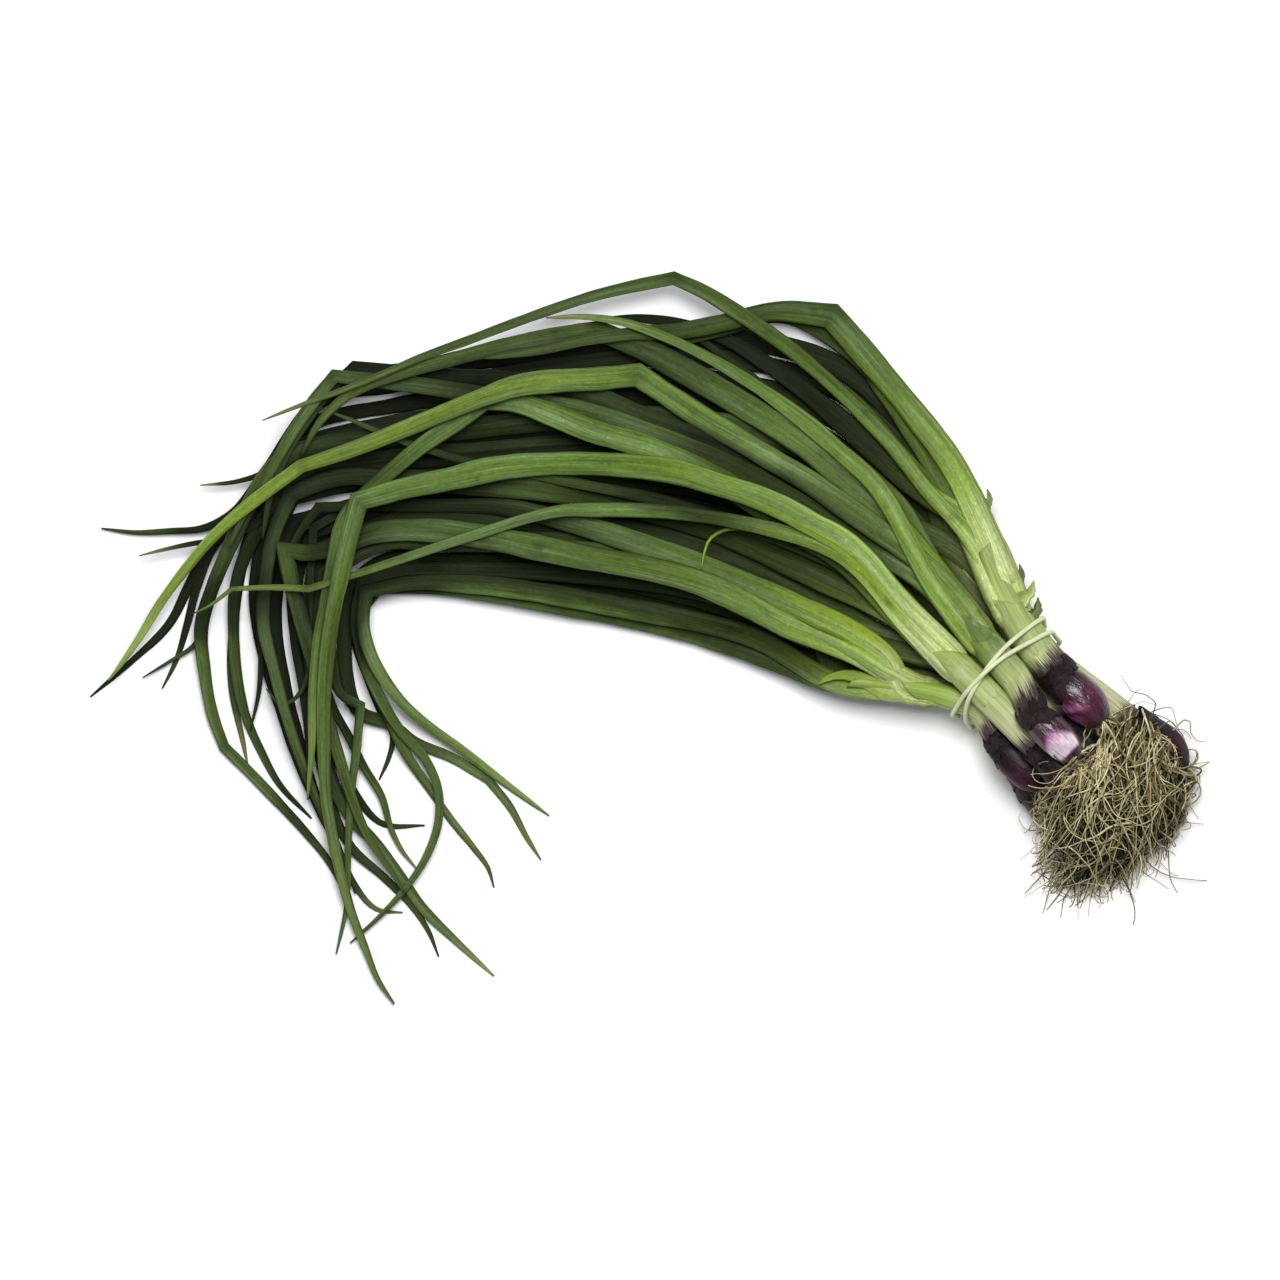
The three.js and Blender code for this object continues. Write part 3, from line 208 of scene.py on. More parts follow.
    leafRow(8, 4.3, "sunny", [(92, 33), (80, 41.5), (70, 48.5), (58, 57), (46, 64), (32, 72.5), (18, 81),
            (6, 89), (-3, 95, 1), (-18, 93.5), (-34, 92.5), (-46, 91), (-58, 87), (-72, 81.5), (-88, 75),
            (-106, 68), (-124, 62, 1), (-135, 54), (-146, 45.5), (-156, 36.5), (-166, 25), (-175, 13),
            (-183, 0), (-190, -10), (-194, -15)]),
    leafRow(6, 2.8, "mid", [(108, 44), (100, 55), (90, 68), (80, 79), (70, 89), (60, 98), (50, 106),
            (40, 113), (30, 119.5), (20, 125.5), (10, 130, 1), (-5, 127), (-20, 123.3), (-35, 118.3),
            (-50, 112.8), (-65, 107), (-80, 101.5), (-95, 95), (-110, 89), (-124, 84), (-138, 78.5)]),
]

# Shares along a leaf, from its foot at 0 to its tip at 1.
widthShares = [(0, 0.85), (0.1, 1), (0.5, 1), (0.63, 0.9), (0.74, 0.74), (0.85, 0.58), (0.93, 0.45),
               (0.98, 0.26), (1, 0.1)]
bluntShares = [(0, 0.85), (0.1, 1), (0.9, 1), (1, 0.8)]
thickShares = [(0, 0.62), (0.15, 0.54), (0.5, 0.46), (0.8, 0.44), (1, 0.5)]

direction = (math.cos(pile["turn"]), math.sin(pile["turn"]))
sideways = (-direction[1], direction[0])


def shareAt(table, s):
    return np.interp(s, *zip(*table))


def place(along, across):
    return tuple(pile["bandPlace"][k] + along * direction[k] + across * sideways[k] for k in range(2))


def outOf(p):  # how far out from the band a point lies, towards the leaves
    return (pile["bandPlace"][0] - p[0]) * direction[0] + (pile["bandPlace"][1] - p[1]) * direction[1]


def easeIn(value):
    t = np.clip(value, 0, 1)
    return t * t * (3 - 2 * t)


def axisAt(onion, along):  # positive towards the bulb, negative to the leaves
    bulb = onion["bulb"]
    ease = easeIn(along / (bulb["along"] - pile["bulbLength"] * pile["stemBend"]))
    t = np.maximum(0, -along / pile["stemReach"])
    splay = (onion["splay"] - onion["across"]) * t * (pile["splayStart"] + (1 - pile["splayStart"]) * t)
    across = onion["across"] + (bulb["across"] - onion["across"]) * ease + splay
    return across, onion["up"] + (bulb["up"] - onion["up"]) * ease


def bulbStart(onion):
    return onion["bulb"]["along"] - pile["bulbLength"] / 2


def arcOf(x, y):
    return np.concatenate([[0], np.cumsum(np.hypot(np.diff(x), np.diff(y)))])


def curveBetween(t, run, a, b, slopeA, slopeB):
    return ((2 * t**3 - 3 * t**2 + 1) * a + (t**3 - 2 * t**2 + t) * run * slopeA
            + (3 * t**2 - 2 * t**3) * b + (t**3 - t**2) * run * slopeB)


def smoothLine(points):  # a smooth line with a corner at each crease
    dense = []
    start = 0
    for end in range(1, len(points)):
        if end < len(points) - 1 and len(points[end]) < 3:
            continue
        run = np.array([p[:2] for p in points[start:end + 1]], float)
        gaps = np.hypot(*np.diff(run, axis=0).T)
        steep = np.diff(run, axis=0) / gaps[:, None]
        slopes = [steep[0]]
        for i in range(1, len(run) - 1):
            slopes.append((steep[i - 1] * gaps[i] + steep[i] * gaps[i - 1]) / (gaps[i] + gaps[i - 1]))
        slopes.append(steep[-1])
        for i, length in enumerate(gaps):
            steps = max(2, math.ceil(length / pile["curveStep"]))
            for k in range(1 if dense else 0, steps + 1):
                xy = curveBetween(k / steps, length, run[i], run[i + 1], slopes[i], slopes[i + 1])
                crease = k == steps and i == len(gaps) - 1 and end < len(points) - 1
                dense.append((xy[0], xy[1], crease))
        start = end
    x, y, crease = (np.array(column) for column in zip(*dense))
    return dict(x=x, y=y, crease=crease.astype(bool), arc=arcOf(x, y))


def pickRings(line):  # at creases, and where the line has turned or run on
    x, y, arc, crease = line["x"], line["y"], line["arc"], line["crease"]
    rings = [0]
    turned = 0
    for i in range(1, len(x)):
        last = i == len(x) - 1
        if not last and not crease[i]:
            a = math.atan2(y[i] - y[i - 1], x[i] - x[i - 1])
            b = math.atan2(y[i + 1] - y[i], x[i + 1] - x[i])
            turned += abs(math.atan2(math.sin(b - a), math.cos(b - a)))
        run = arc[i] - arc[rings[-1]]
        due = run > pile["ringsMost"] or turned > pile["ringsTurn"]
        if last or crease[i] or (due and min(run, arc[-1] - arc[i]) > pile["ringsLeast"]):
            rings.append(i)
            turned = 0
    return rings


def nearest(item, px, py):  # the nearest spot to each point on each stretch between two rings
    dx, dy = np.diff(item["x"]), np.diff(item["y"])
    g = ((px[:, None] - item["x"][:-1]) * dx + (py[:, None] - item["y"][:-1]) * dy) / (dx * dx + dy * dy)
    g = np.clip(g, 0, 1)
    away = np.hypot(item["x"][:-1] + g * dx - px[:, None], item["y"][:-1] + g * dy - py[:, None])
    return away, g


def between(values, g):
    return values[:-1] * (1 - g) + values[1:] * g


def heightOf(stem, px, py):
    away, g = nearest(stem, px, py)
    return between(stem["z"], g)[np.arange(len(px)), away.argmin(axis=1)]


def needsOf(item, lying):  # how high the item must lie at each sample, over what lies there already
    samples = []
    for k, run in enumerate(np.diff(item["arc"])):
        steps = max(1, math.ceil(run / pile["sampleStep"]))
        samples += [(k, j / steps) for j in range(steps + 1)]
    k, f = (np.array(column) for column in zip(*samples))
    x, y, half, thick, at = (item[key][k] * (1 - f) + item[key][k + 1] * f
                             for key in ("x", "y", "half", "thick", "arc"))
    need = thick + (pile["stemLift"] if item["round"] else 0)
    for other in lying:
        nested = other["onion"] == item["onion"]
        if nested and (other["round"] or item["round"]):
            continue
        away, g = nearest(other, x, y)
        reach = half[:, None] + between(other["half"], g)
        q = away / reach
        if item["round"] or other["round"]:
            share = np.sqrt(1 - np.clip((q - pile["roundTop"]) / (1 - pile["roundTop"]), 0, 1) ** 2)
        else:
            share = np.clip(2 * (1 - q), 0, 1)
        both = (thick[:, None] + between(other["thick"], g)) * share
        level = between(other["z"], g) + both + pile["lieGap"]
        level[away >= reach] = 0
        if nested:
            level[at < pile["nestReach"]] = 0
        need = np.maximum(need, level.max(axis=1))
    return list(zip(k.tolist(), f.tolist(), need.tolist()))


def settle(item, lying):  # lowers a leaf or a stem onto what already lies there
    needs = needsOf(item, lying)
    z = item["z"].tolist()
    run = np.diff(item["arc"]).tolist()
    pinned, last = item["pinned"], len(z) - 1
    pull, sag = pile["settleShare"], 2 * pile["droopRadius"]
    for _ in range(pile["settleRounds"]):
        for i in range(pinned, last + 1):
            before = run[i - 1]
            after = run[i] if i < last else before
            straight = (z[i - 1] * after + z[i + 1] * before) / (before + after) if i < last else z[i - 1]
            z[i] += pull * (straight - z[i]) - pull * before * after / sag
        for k, f, need in needs:
            short = need - (z[k] * (1 - f) + z[k + 1] * f)
            if short <= 0:
                continue
            freeA = 1 - f if k >= pinned else 0
            freeB = f if k + 1 >= pinned else 0
            total = freeA * freeA + freeB * freeB
            if total < pile["leastHold"]:
                continue
            z[k] += short * freeA / total
            z[k + 1] += short * freeB / total
    item["z"] = np.array(z)


def layStem(number, lying):
    onion = onions[number - 1]
    start = bulbStart(onion)
    out = np.arange(0, pile["stemReach"] + 1, pile["stemStep"])
    along = np.array([start, start * pile["stemWaist"], *-out], float)
    across, up = axisAt(onion, along)
    x, y = place(along, across)
    half = np.full(len(along), float(onion["radius"]))
    half[-1] *= pile["stemEndShare"]
    stem = dict(onion=number, round=True, pinned=pile["stemPinned"], x=x, y=y, z=up + 0 * along, half=half,
                thick=half, along=along, across=across, arc=arcOf(x, y))
    settle(stem, lying)
    return stem


def leafPoints(leaf, order, lead=0):  # lead starts the leaf nearer to the band, inside its sheath
    onion = onions[leaf["onion"] - 1]
    start = -(pile["firstBladeOut"] + pile["bladeSpacing"] * (order % pile["bladesInTurn"]))
    lean = (1 if order % 2 else -1) * pile["bladeLean"] * onion["radius"]
    spots = [start + lead, start] if lead else [start]
    onward = leaf["route"]
    if leaf["lane"] is not None:
        onward = [tuple(a + (b - a) * leaf["lane"] for a, b in zip(*ends))
                  for ends in zip(lowerEdge, upperEdge)] + onward
    if not leaf["early"]:
        spots.append(-pile["stemReach"])
        onward = onward[next(i for i, p in enumerate(onward) if outOf(p) > pile["freeReach"]):]
    return [place(s, axisAt(onion, s)[0] + lean) for s in spots] + onward


def ownShares(leaf, s, flatten=1):  # a leaf's half width and half thickness along it
    half = leaf["half"] * shareAt(bluntShares if leaf["blunt"] else widthShares, s)
    return half, half * shareAt(thickShares, s) * flatten


def layLeaf(leaf, order, stem, lying):
    line = smoothLine(leafPoints(leaf, order))
    picked = pickRings(line)
    x, y, arc, crease = (line[key][picked] for key in ("x", "y", "arc", "crease"))
    half, thick = ownShares(leaf, arc / arc[-1])
    half = np.where(crease, half * pile["creaseWidth"], half)
    thick = np.where(crease, thick * pile["creaseWidth"] * pile["creaseThickness"], thick)
    blade = dict(onion=leaf["onion"], round=False, x=x, y=y, arc=arc, half=half,
                 thick=np.maximum(pile["thinnest"], thick), z=heightOf(stem, x, y),
                 pinned=max(1, int((arc < pile["rooted"]).sum())),
                 leaf=leaf, order=order, creases=arc[crease])
    settle(blade, lying)
    return blade


def layOut():
    lying = []
    stems = {}
    counts = [0] * len(onions)
    for leaf in leaves:
        number = leaf["onion"]
        if number not in stems:
            stems[number] = layStem(number, lying)
            lying.append(stems[number])
        lying.append(layLeaf(leaf, counts[number - 1], stems[number], lying))
        counts[number - 1] += 1
    return stems, [item for item in lying if not item["round"]]


stems, blades = layOut()
print("laid out", len(stems), "stems and", len(blades), "leaves")


def smoothHeights(at, arc, z):  # a curve through the rings' heights that never swings past them
    run, rise = np.diff(arc), np.diff(z)
    steep = rise / run
    slope = np.concatenate([[steep[0]], np.zeros(len(z) - 2), [steep[-1]]])
    for i in range(1, len(z) - 1):
        if steep[i - 1] * steep[i] > 0:
            a, b = 2 * run[i] + run[i - 1], run[i] + 2 * run[i - 1]
            slope[i] = (a + b) / (a / steep[i - 1] + b / steep[i])
    k = np.clip(np.searchsorted(arc, at) - 1, 0, len(run) - 1)
    t = np.clip((at - arc[k]) / run[k], 0, 1)
    return curveBetween(t, run[k], z[k], z[k + 1], slope[k], slope[k + 1])


waveParts = (1, 0.57, 0.31)  # three waves of these lengths and heights make one slow unevenness


def waver(draw, at, length):  # from -1 to 1 along a leaf
    total = 0 * at
    for part in waveParts:
        total = total + part * np.sin(2 * math.pi * (at / (length * part) + draw.random()))
    return total / sum(waveParts)


# A coarse map of how high the pile reaches, used to paint shade on what lies deep in it.
depthMap = {
    "cell": 3.0,
    "corner": (-225, -150),
    "cells": (152, 102),
    "step": 2,
    "sides": (-0.8, 0, 0.8),  # of a leaf's half width
    "reach": 3,  # cells that a leaf shades round it
    "fall": 1.1,  # how much lower its shade is a cell further on
}


def spreadMap():
    grid = np.zeros(depthMap["cells"])
    for blade in blades:
        at = np.arange(0, blade["arc"][-1], depthMap["step"])
        x, y, z, half, thick = (np.interp(at, blade["arc"], blade[k])
                                for k in ("x", "y", "z", "half", "thick"))
        wayX, wayY = np.gradient(x), np.gradient(y)
        norm = np.hypot(wayX, wayY) + 1e-9
        for share in depthMap["sides"]:
            spots = (x - wayY / norm * half * share, y + wayX / norm * half * share)
            i, j = (((spot - low) / depthMap["cell"]).astype(int)
                    for spot, low in zip(spots, depthMap["corner"]))
            np.maximum.at(grid, (i, j), z + thick)
    wide = grid.copy()
    reach = depthMap["reach"]
    for i in range(-reach, reach + 1):
        for j in range(-reach, reach + 1):
            if i * i + j * j <= reach * reach + 1:
                fallen = np.roll(grid, (i, j), axis=(0, 1)) - depthMap["fall"] * math.hypot(i, j)
                wide = np.maximum(wide, fallen)
    return sum(np.roll(wide, (i, j), axis=(0, 1)) for i in (-1, 0, 1) for j in (-1, 0, 1)) / 9


heights = spreadMap()


def depthUnder(x, y, z):
    i, j = (np.clip((spot - low) / depthMap["cell"], 0, cells - 2)
            for spot, low, cells in zip((x, y), depthMap["corner"], depthMap["cells"]))
    i0, j0 = i.astype(int), j.astype(int)
    fi, fj = i - i0, j - j0
    top = ((heights[i0, j0] * (1 - fi) + heights[i0 + 1, j0] * fi) * (1 - fj)
           + (heights[i0, j0 + 1] * (1 - fi) + heights[i0 + 1, j0 + 1] * fi) * fj)
    return np.maximum(0, top - z)


def paint(red, green, blue):  # a screen colour from 0 to 255, as linear light
    return np.array([(c / 255 / 12.92) if c < 10.3 else ((c / 255 + 0.055) / 1.055) ** 2.4
                     for c in (red, green, blue)])


def blendStops(stops, at):  # stops are (place, colour)
    places, colours = zip(*stops)
    return np.stack([np.interp(at, places, channel) for channel in zip(*colours)], axis=-1)


# Gathers tubes of points into one mesh, with a colour, a fibre direction and a purple share each.
class MeshMaker:
    def __init__(self):
        self.points, self.faces, self.slots = [], [], []
        self.tint, self.fibre, self.purple = [], [], []
        self.count = 0

    def addTube(self, rings, tint, fibre, purple=0.0, slot=0, closed=False):
        rows, sides = rings.shape[:2]
        index = np.arange(rows * sides).reshape(rows, sides) + self.count
        after = np.roll(index, -1, axis=1)
        last = rows if closed else rows - 1
        corners = [index, after, np.roll(after, -1, axis=0), np.roll(index, -1, axis=0)]
        quads = np.stack([corner[:last] for corner in corners], axis=-1).reshape(-1, 4)
        self.faces += quads.tolist()
        if not closed:
            self.faces += [index[0, ::-1].tolist(), index[-1].tolist()]
        self.slots += [slot] * (len(quads) + (0 if closed else 2))
        self.points.append(rings.reshape(-1, 3))
        self.tint.append(np.broadcast_to(tint, rings.shape).reshape(-1, 3))
        self.fibre.append(np.broadcast_to(fibre, rings.shape).reshape(-1, 3))
        self.purple.append(np.broadcast_to(purple, (rows, sides)).ravel())
        self.count += rows * sides

    def finish(self, name, materials):
        points = (np.concatenate(self.points) - np.array([*pile["middle"], 0])) * 0.001
        mesh = bpy.data.meshes.new(name)
        mesh.from_pydata(points.tolist(), [], self.faces)
        mesh.polygons.foreach_set("use_smooth", [True] * len(mesh.polygons))
        mesh.polygons.foreach_set("material_index", self.slots)
        tint = np.concatenate(self.tint)
        tint = np.concatenate([tint, np.ones((len(tint), 1))], axis=1)
        layers = [("tint", "FLOAT_COLOR", "color", tint),
                  ("fibre", "FLOAT_VECTOR", "vector", np.concatenate(self.fibre)),
                  ("purple", "FLOAT", "value", np.concatenate(self.purple))]
        for layer, kind, key, values in layers:
            mesh.attributes.new(layer, kind, "POINT").data.foreach_set(key, values.ravel())
        for material in materials:
            mesh.materials.append(material)
        mesh.update()
        piece = bpy.data.objects.new(name, mesh)
        bpy.context.collection.objects.link(piece)
        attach(piece, "root")
        return piece


def around(sides):  # the angles of a ring's points
    return np.arange(sides) / sides * 2 * math.pi


def anyAngle(draw):  # up to nearly a full turn
    return 6 * draw.random()


def ringsRound(along, across, up, radius, theta, floor):  # rings round a stem's or a bulb's axis
    x, y = place(along, across)
    out, rise = radius * np.cos(theta), radius * np.sin(theta)
    return np.stack([x + sideways[0] * out, y + sideways[1] * out, np.maximum(floor, up + rise)], axis=-1)


def ringsAlong(line, radius, theta, first, second):  # rings round a line, between its two sides
    return line[:, None] + radius * (np.cos(theta)[None, :, None] * first[:, None]
                                     + np.sin(theta)[None, :, None] * second[:, None])


def grain(radius, theta, arc, draw=None):  # where each point lies in its tube's own grain
    apart = draw.random() * 900 if draw else 0  # no two tubes share their grain
    return np.stack(np.broadcast_arrays(radius * np.cos(theta) + apart, radius * np.sin(theta), arc), axis=-1)


def unit(ways):
    return ways / np.maximum(1e-6, np.linalg.norm(ways, axis=1))[:, None]


def routeThrough(spots, count):  # points along a route with its corners softened
    at = np.linspace(0, len(spots) - 1, count)
    route = np.stack([np.interp(at, np.arange(len(spots)), column) for column in zip(*spots)], axis=-1)
    route[1:-1] = (route[:-2] + 2 * route[1:-1] + route[2:]) / 4
    return route, at


def newMaterial(name, roughness):
    material = bpy.data.materials.new(name)
    material.use_nodes = True
    shader = material.node_tree.nodes["Principled BSDF"]
    shader.inputs["Roughness"].default_value = roughness
    return material, shader


def addNode(tree, kind, settings=None, **links):  # links: an input's name, or i and its number
    node = tree.nodes.new(kind)
    for key, value in (settings or {}).items():
        setattr(node, key, value)
    for key, value in links.items():
        socket = node.inputs[int(key[1:])] if key[1:].isdigit() else node.inputs[key]
        if isinstance(value, bpy.types.NodeSocket):
            tree.links.new(value, socket)
        else:
            socket.default_value = (*value, 1) if socket.type == "RGBA" else value
    return node


def attribute(tree, name, output):
    return addNode(tree, "ShaderNodeAttribute", {"attribute_name": name}).outputs[output]


def fibreNoise(tree, scale, detail, roughness):  # noise that is stretched along the fibres
    moved = addNode(tree, "ShaderNodeMapping", Vector=attribute(tree, "fibre", "Vector"), Scale=scale)
    noise = addNode(tree, "ShaderNodeTexNoise", Vector=moved.outputs["Vector"], Scale=1.0,
                    Detail=detail, Roughness=roughness)
    return noise.outputs["Fac"]


def mapTo(tree, value, fromLow, fromHigh, low, high):
    node = addNode(tree, "ShaderNodeMapRange", i0=value, i1=fromLow, i2=fromHigh, i3=low, i4=high)
    return node.outputs["Result"]


def mixColour(tree, factor, first, second):
    return addNode(tree, "ShaderNodeMix", {"data_type": "RGBA"}, i0=factor, i6=first, i7=second).outputs[2]


# A material whose colour is the mesh's tint, worked over by the look's layers. Each layer names a
# noise, the range of it that counts and what that range becomes. This shades the colour so far, or
# mixes in the colour at the layer's end, or the colour so far with its hue or saturation changed.
def tintedMaterial(name, look):
    material, shader = newMaterial(name, look["roughness"])
    tree = material.node_tree
    noises = {key: fibreNoise(tree, *values) for key, values in look["noises"].items()}
    colour = attribute(tree, "tint", "Color")
    for key, fromLow, fromHigh, low, high, *other in look["layers"]:
        factor = mapTo(tree, noises[key], fromLow, fromHigh, low, high)
        if not other:
            shaded = addNode(tree, "ShaderNodeVectorMath", {"operation": "SCALE"}, i0=colour, Scale=factor)
            colour = shaded.outputs["Vector"]
            continue
        change = other[0]
        if isinstance(change, dict):
            change = addNode(tree, "ShaderNodeHueSaturation", Color=colour, **change).outputs[0]
        colour = mixColour(tree, factor, colour, change)
    tree.links.new(colour, shader.inputs["Base Color"])
    if "specular" in look:
        shader.inputs["Specular IOR Level"].default_value = look["specular"]
    bump = {}
    for key, distance, strength in look["bumps"]:
        node = addNode(tree, "ShaderNodeBump", Height=noises[key], Distance=distance, Strength=strength,
                       **bump)
        bump = {"Normal": node.outputs["Normal"]}
    tree.links.new(bump["Normal"], shader.inputs["Normal"])
    return dict(material=material, tree=tree, shader=shader, noises=noises, colour=colour)


leafLook = {
    "sides": 26,
    "step": 2.4,  # between rings
    "leastRings": 12,
    "look": 2.2,  # how far ahead and behind a ring looks for its way
    "lead": 9,  # a leaf starts this much nearer to the band, hidden in its sheath
    "baseWidth": 0.84,  # at the sheath, as a share of the stem's radius
    "baseThick": 0.74,
    "baseGrown": 0.55,  # of that at the leaf's very start
    "baseLength": 48,  # from there to its own width
    "flatWidth": 0.74,  # powers below 1 square the section off
    "flatThick": 0.6,
    "flatBeyond": 0.7,  # this much more beyond the sheath than in it
    "flatten": 0.86,
    "thinnest": 0.2,
    "uneven": ((60, 0.06), (17, 0.024)),  # waves of the width: length, and height as a share
    "channel": 0.42,  # how deep the hollow along the top is, as a share of the half thickness
    "channelWave": 80,
    "channelShare": 0.45,
    "channelWidth": 0.36,
    "channelSwing": (110, 0.45),  # how it wanders from side to side
    "tilt": 0.3,
    "tiltWave": 130,
    "tiltChance": 0.5,
    "foldLevel": 0.6,  # how much a fold levels the tilt
    "foldReach": 3.2,
    "foldThin": 0.66,
    # painted shade in a fold
    "foldShade": 0.3,
    "foldLook": 1.5,  # how far before and after a fold its turn is measured
    "foldClear": (9, 0.85, 0.5, 0.4),  # no ring but a mitred one comes this close to a fold
    "sharpest": 2.2,
    "widestMitre": 1.5,
    "slimEnd": (0.2, 0.46, 0.14),  # how much slimmer the far half is, from where and over what share
    # painted shade: a leaf's sides and underside are darker than its top, where less light falls
    "edgeShade": 0.2,
    "edgeRise": (0.35, 0.9),
    "flank": (0.16, 0.36),  # painted light and shade: how much one flank is darker than the other, near the stem and at the tip
    "flankTurn": (0.45, 0.2),
    "flankWave": (90, 0.8),
    "flankChance": 2.2,
    "foldChange": (0.34, 0.2),  # how far a leaf's painted shade may change beyond a fold, where it faces the light another way
    "foldFade": (2, 4),  # from this far before the fold on, over this length
    "deepShade": 0.22,  # painted shade: what is left of a leaf's colour deep in the pile
    "deepAt": 11,
    "paleness": {5: 0.9, 6: 1.1, 7: 1.0, 8: 0.2},  # how far the pale sheath colour runs up the leaf
    "usualPaleness": 0.8,
    "palenessRange": (0.7, 0.6),
    "shadeRange": 0.16,
    "whitest": 1.6,
    "whiteTo": (8, 0.95),  # and how dim it is there
    "limeTo": 26,
    "greenFrom": (50, 8),
    "middleAt": 110,
    "farAt": (150, 0.7),
    "tipLength": 22,
    "endGlow": np.array([1.5, 1.35, 1.2]),  # towards its tip a leaf turns paler and yellower
    "dryTip": paint(128, 128, 70),
    "freshTips": 0.6,  # the share of leaves without a dry tip
    "freshTip": 1.1,  # how bright theirs is
    "tones": {  # near the sheath, in the middle, beyond it
        "deep": (paint(68, 88, 30), paint(53, 70, 27), paint(46, 61, 27)),
        "mid": (paint(90, 117, 36), paint(71, 94, 35), paint(63, 83, 36)),
        "fresh": (paint(110, 139, 44), paint(86, 114, 40), paint(80, 104, 43)),
        "lime": (paint(134, 163, 56), paint(115, 145, 50), paint(106, 134, 50)),
        "sunny": (paint(84, 108, 38), paint(86, 114, 39), paint(106, 134, 48)),
    },
    "sheathColour": paint(166, 182, 104),
    "collarColour": paint(124, 152, 52),
}

leafSkin = {
    "roughness": 0.72,
    "brightRoughness": (0.14, 0.46),  # from this brightness on a leaf is this smooth
    "specular": 0.14,
    "noises": {
        "fine": ((2.3, 2.3, 0.03), 3, 0.6),
        "broad": ((0.5, 0.5, 0.02), 2, 0.6),
        "cloudy": ((0.2, 0.2, 0.09), 5, 0.6),
        "streak": ((0.36, 0.36, 0.013), 5, 0.6),
        "mottle": ((1.1, 1.1, 0.5), 4, 0.7),
        "speckle": ((1.4, 1.4, 0.7), 2, 0.6),
    },
    "layers": [
        ("fine", 0.3, 0.7, 0.7, 1.3),
        ("broad", 0.32, 0.68, 0.72, 1.26),
        # paler, greyer streaks: partly the leaf's waxy bloom and partly a painted sheen
        ("streak", 0.44, 0.66, 0, 0.75, dict(Saturation=0.72, Value=1.4)),
        ("streak", 0.48, 0.34, 0, 0.8, dict(Hue=0.475, Saturation=1.05)),
        ("cloudy", 0.42, 0.26, 1, 0.6),
        ("mottle", 0.3, 0.7, 0.78, 1.22),
        ("speckle", 0.66, 0.74, 1, 1.7),
    ],
    "bumps": [("fine", 0.0004, 0.8)],
}


def leafMaterial():
    skin = tintedMaterial("waxy leaf", leafSkin)
    tree = skin["tree"]
    bright = addNode(tree, "ShaderNodeRGBToBW", i0=skin["colour"]).outputs[0]
    brightest, smoothest = leafSkin["brightRoughness"]
    rough = mapTo(tree, bright, 0, brightest, leafSkin["roughness"], smoothest)
    tree.links.new(rough, skin["shader"].inputs["Roughness"])
    return skin["material"]


def leafColour(leaf, arc, length, draw):
    near, middle, far = leafLook["tones"][leaf["tone"]]
    shade = 1 + leafLook["shadeRange"] * (draw.random() - 0.5)
    least, more = leafLook["palenessRange"]
    usual = leafLook["paleness"].get(leaf["onion"], leafLook["usualPaleness"])
    pale = usual * (least + more * draw.random())
    white = min(1, leafLook["whitest"] * pale)
    base, collar = (leafLook[key] * white + near * (1 - white) for key in ("sheathColour", "collarColour"))
    (whiteTo, dim), (greenFrom, further) = leafLook["whiteTo"], leafLook["greenFrom"]
    farAt, farShare = leafLook["farAt"]
    stops = [(-10, base), (whiteTo * pale, base * dim), (leafLook["limeTo"] * pale, collar),
             (greenFrom * pale + further, near * shade), (leafLook["middleAt"], middle * shade),
             (max(farAt, length * farShare), far * shade),
             (length - leafLook["tipLength"], far * shade * leafLook["endGlow"])]
    tip = far * leafLook["freshTip"] if draw.random() < leafLook["freshTips"] else leafLook["dryTip"]
    return blendStops(stops + [(length, tip)], arc)


def leafRings(line, leaf, folds):  # where a leaf's rings stand, and how much wider each fold's is
    at = np.linspace(0, line["arc"][-1], max(leafLook["leastRings"], int(line["arc"][-1] / leafLook["step"])))
    most, share, least, margin = leafLook["foldClear"]
    mitres = []
    for fold in folds:
        spots = [fold - leafLook["foldLook"], fold, fold + leafLook["foldLook"]]
        x, y = (np.interp(spots, line["arc"], line[k]) for k in ("x", "y"))
        before, after = (math.atan2(y[k + 1] - y[k], x[k + 1] - x[k]) for k in range(2))
        turn = min(leafLook["sharpest"], abs(math.remainder(after - before, 2 * math.pi)))
        clear = min(most, share * leaf["half"] * math.tan(turn / 2)) + least
        at = at[np.abs(at - fold) > clear + margin]
        at = np.sort(np.concatenate([at, [fold - clear, fold, fold + clear]]))
        mitres.append(min(leafLook["widestMitre"], 1 / math.cos(turn / 2)))
    return at, mitres


def leafWay(line, at, folds):  # which way a leaf runs at each ring
    reach = np.full(len(at), leafLook["look"])
    for fold in folds:
        away = np.abs(at - fold)
        reach = np.where(away < 0.01, 1.0, np.minimum(reach, 0.9 * np.maximum(away, 0.1)))
    ahead, behind = (np.clip(spots, 0, line["arc"][-1]) for spots in (at + reach, at - reach))
    wayX, wayY = (np.interp(ahead, line["arc"], line[k]) - np.interp(behind, line["arc"], line[k])
                  for k in ("x", "y"))
    norm = np.hypot(wayX, wayY)
    return wayX / norm, wayY / norm


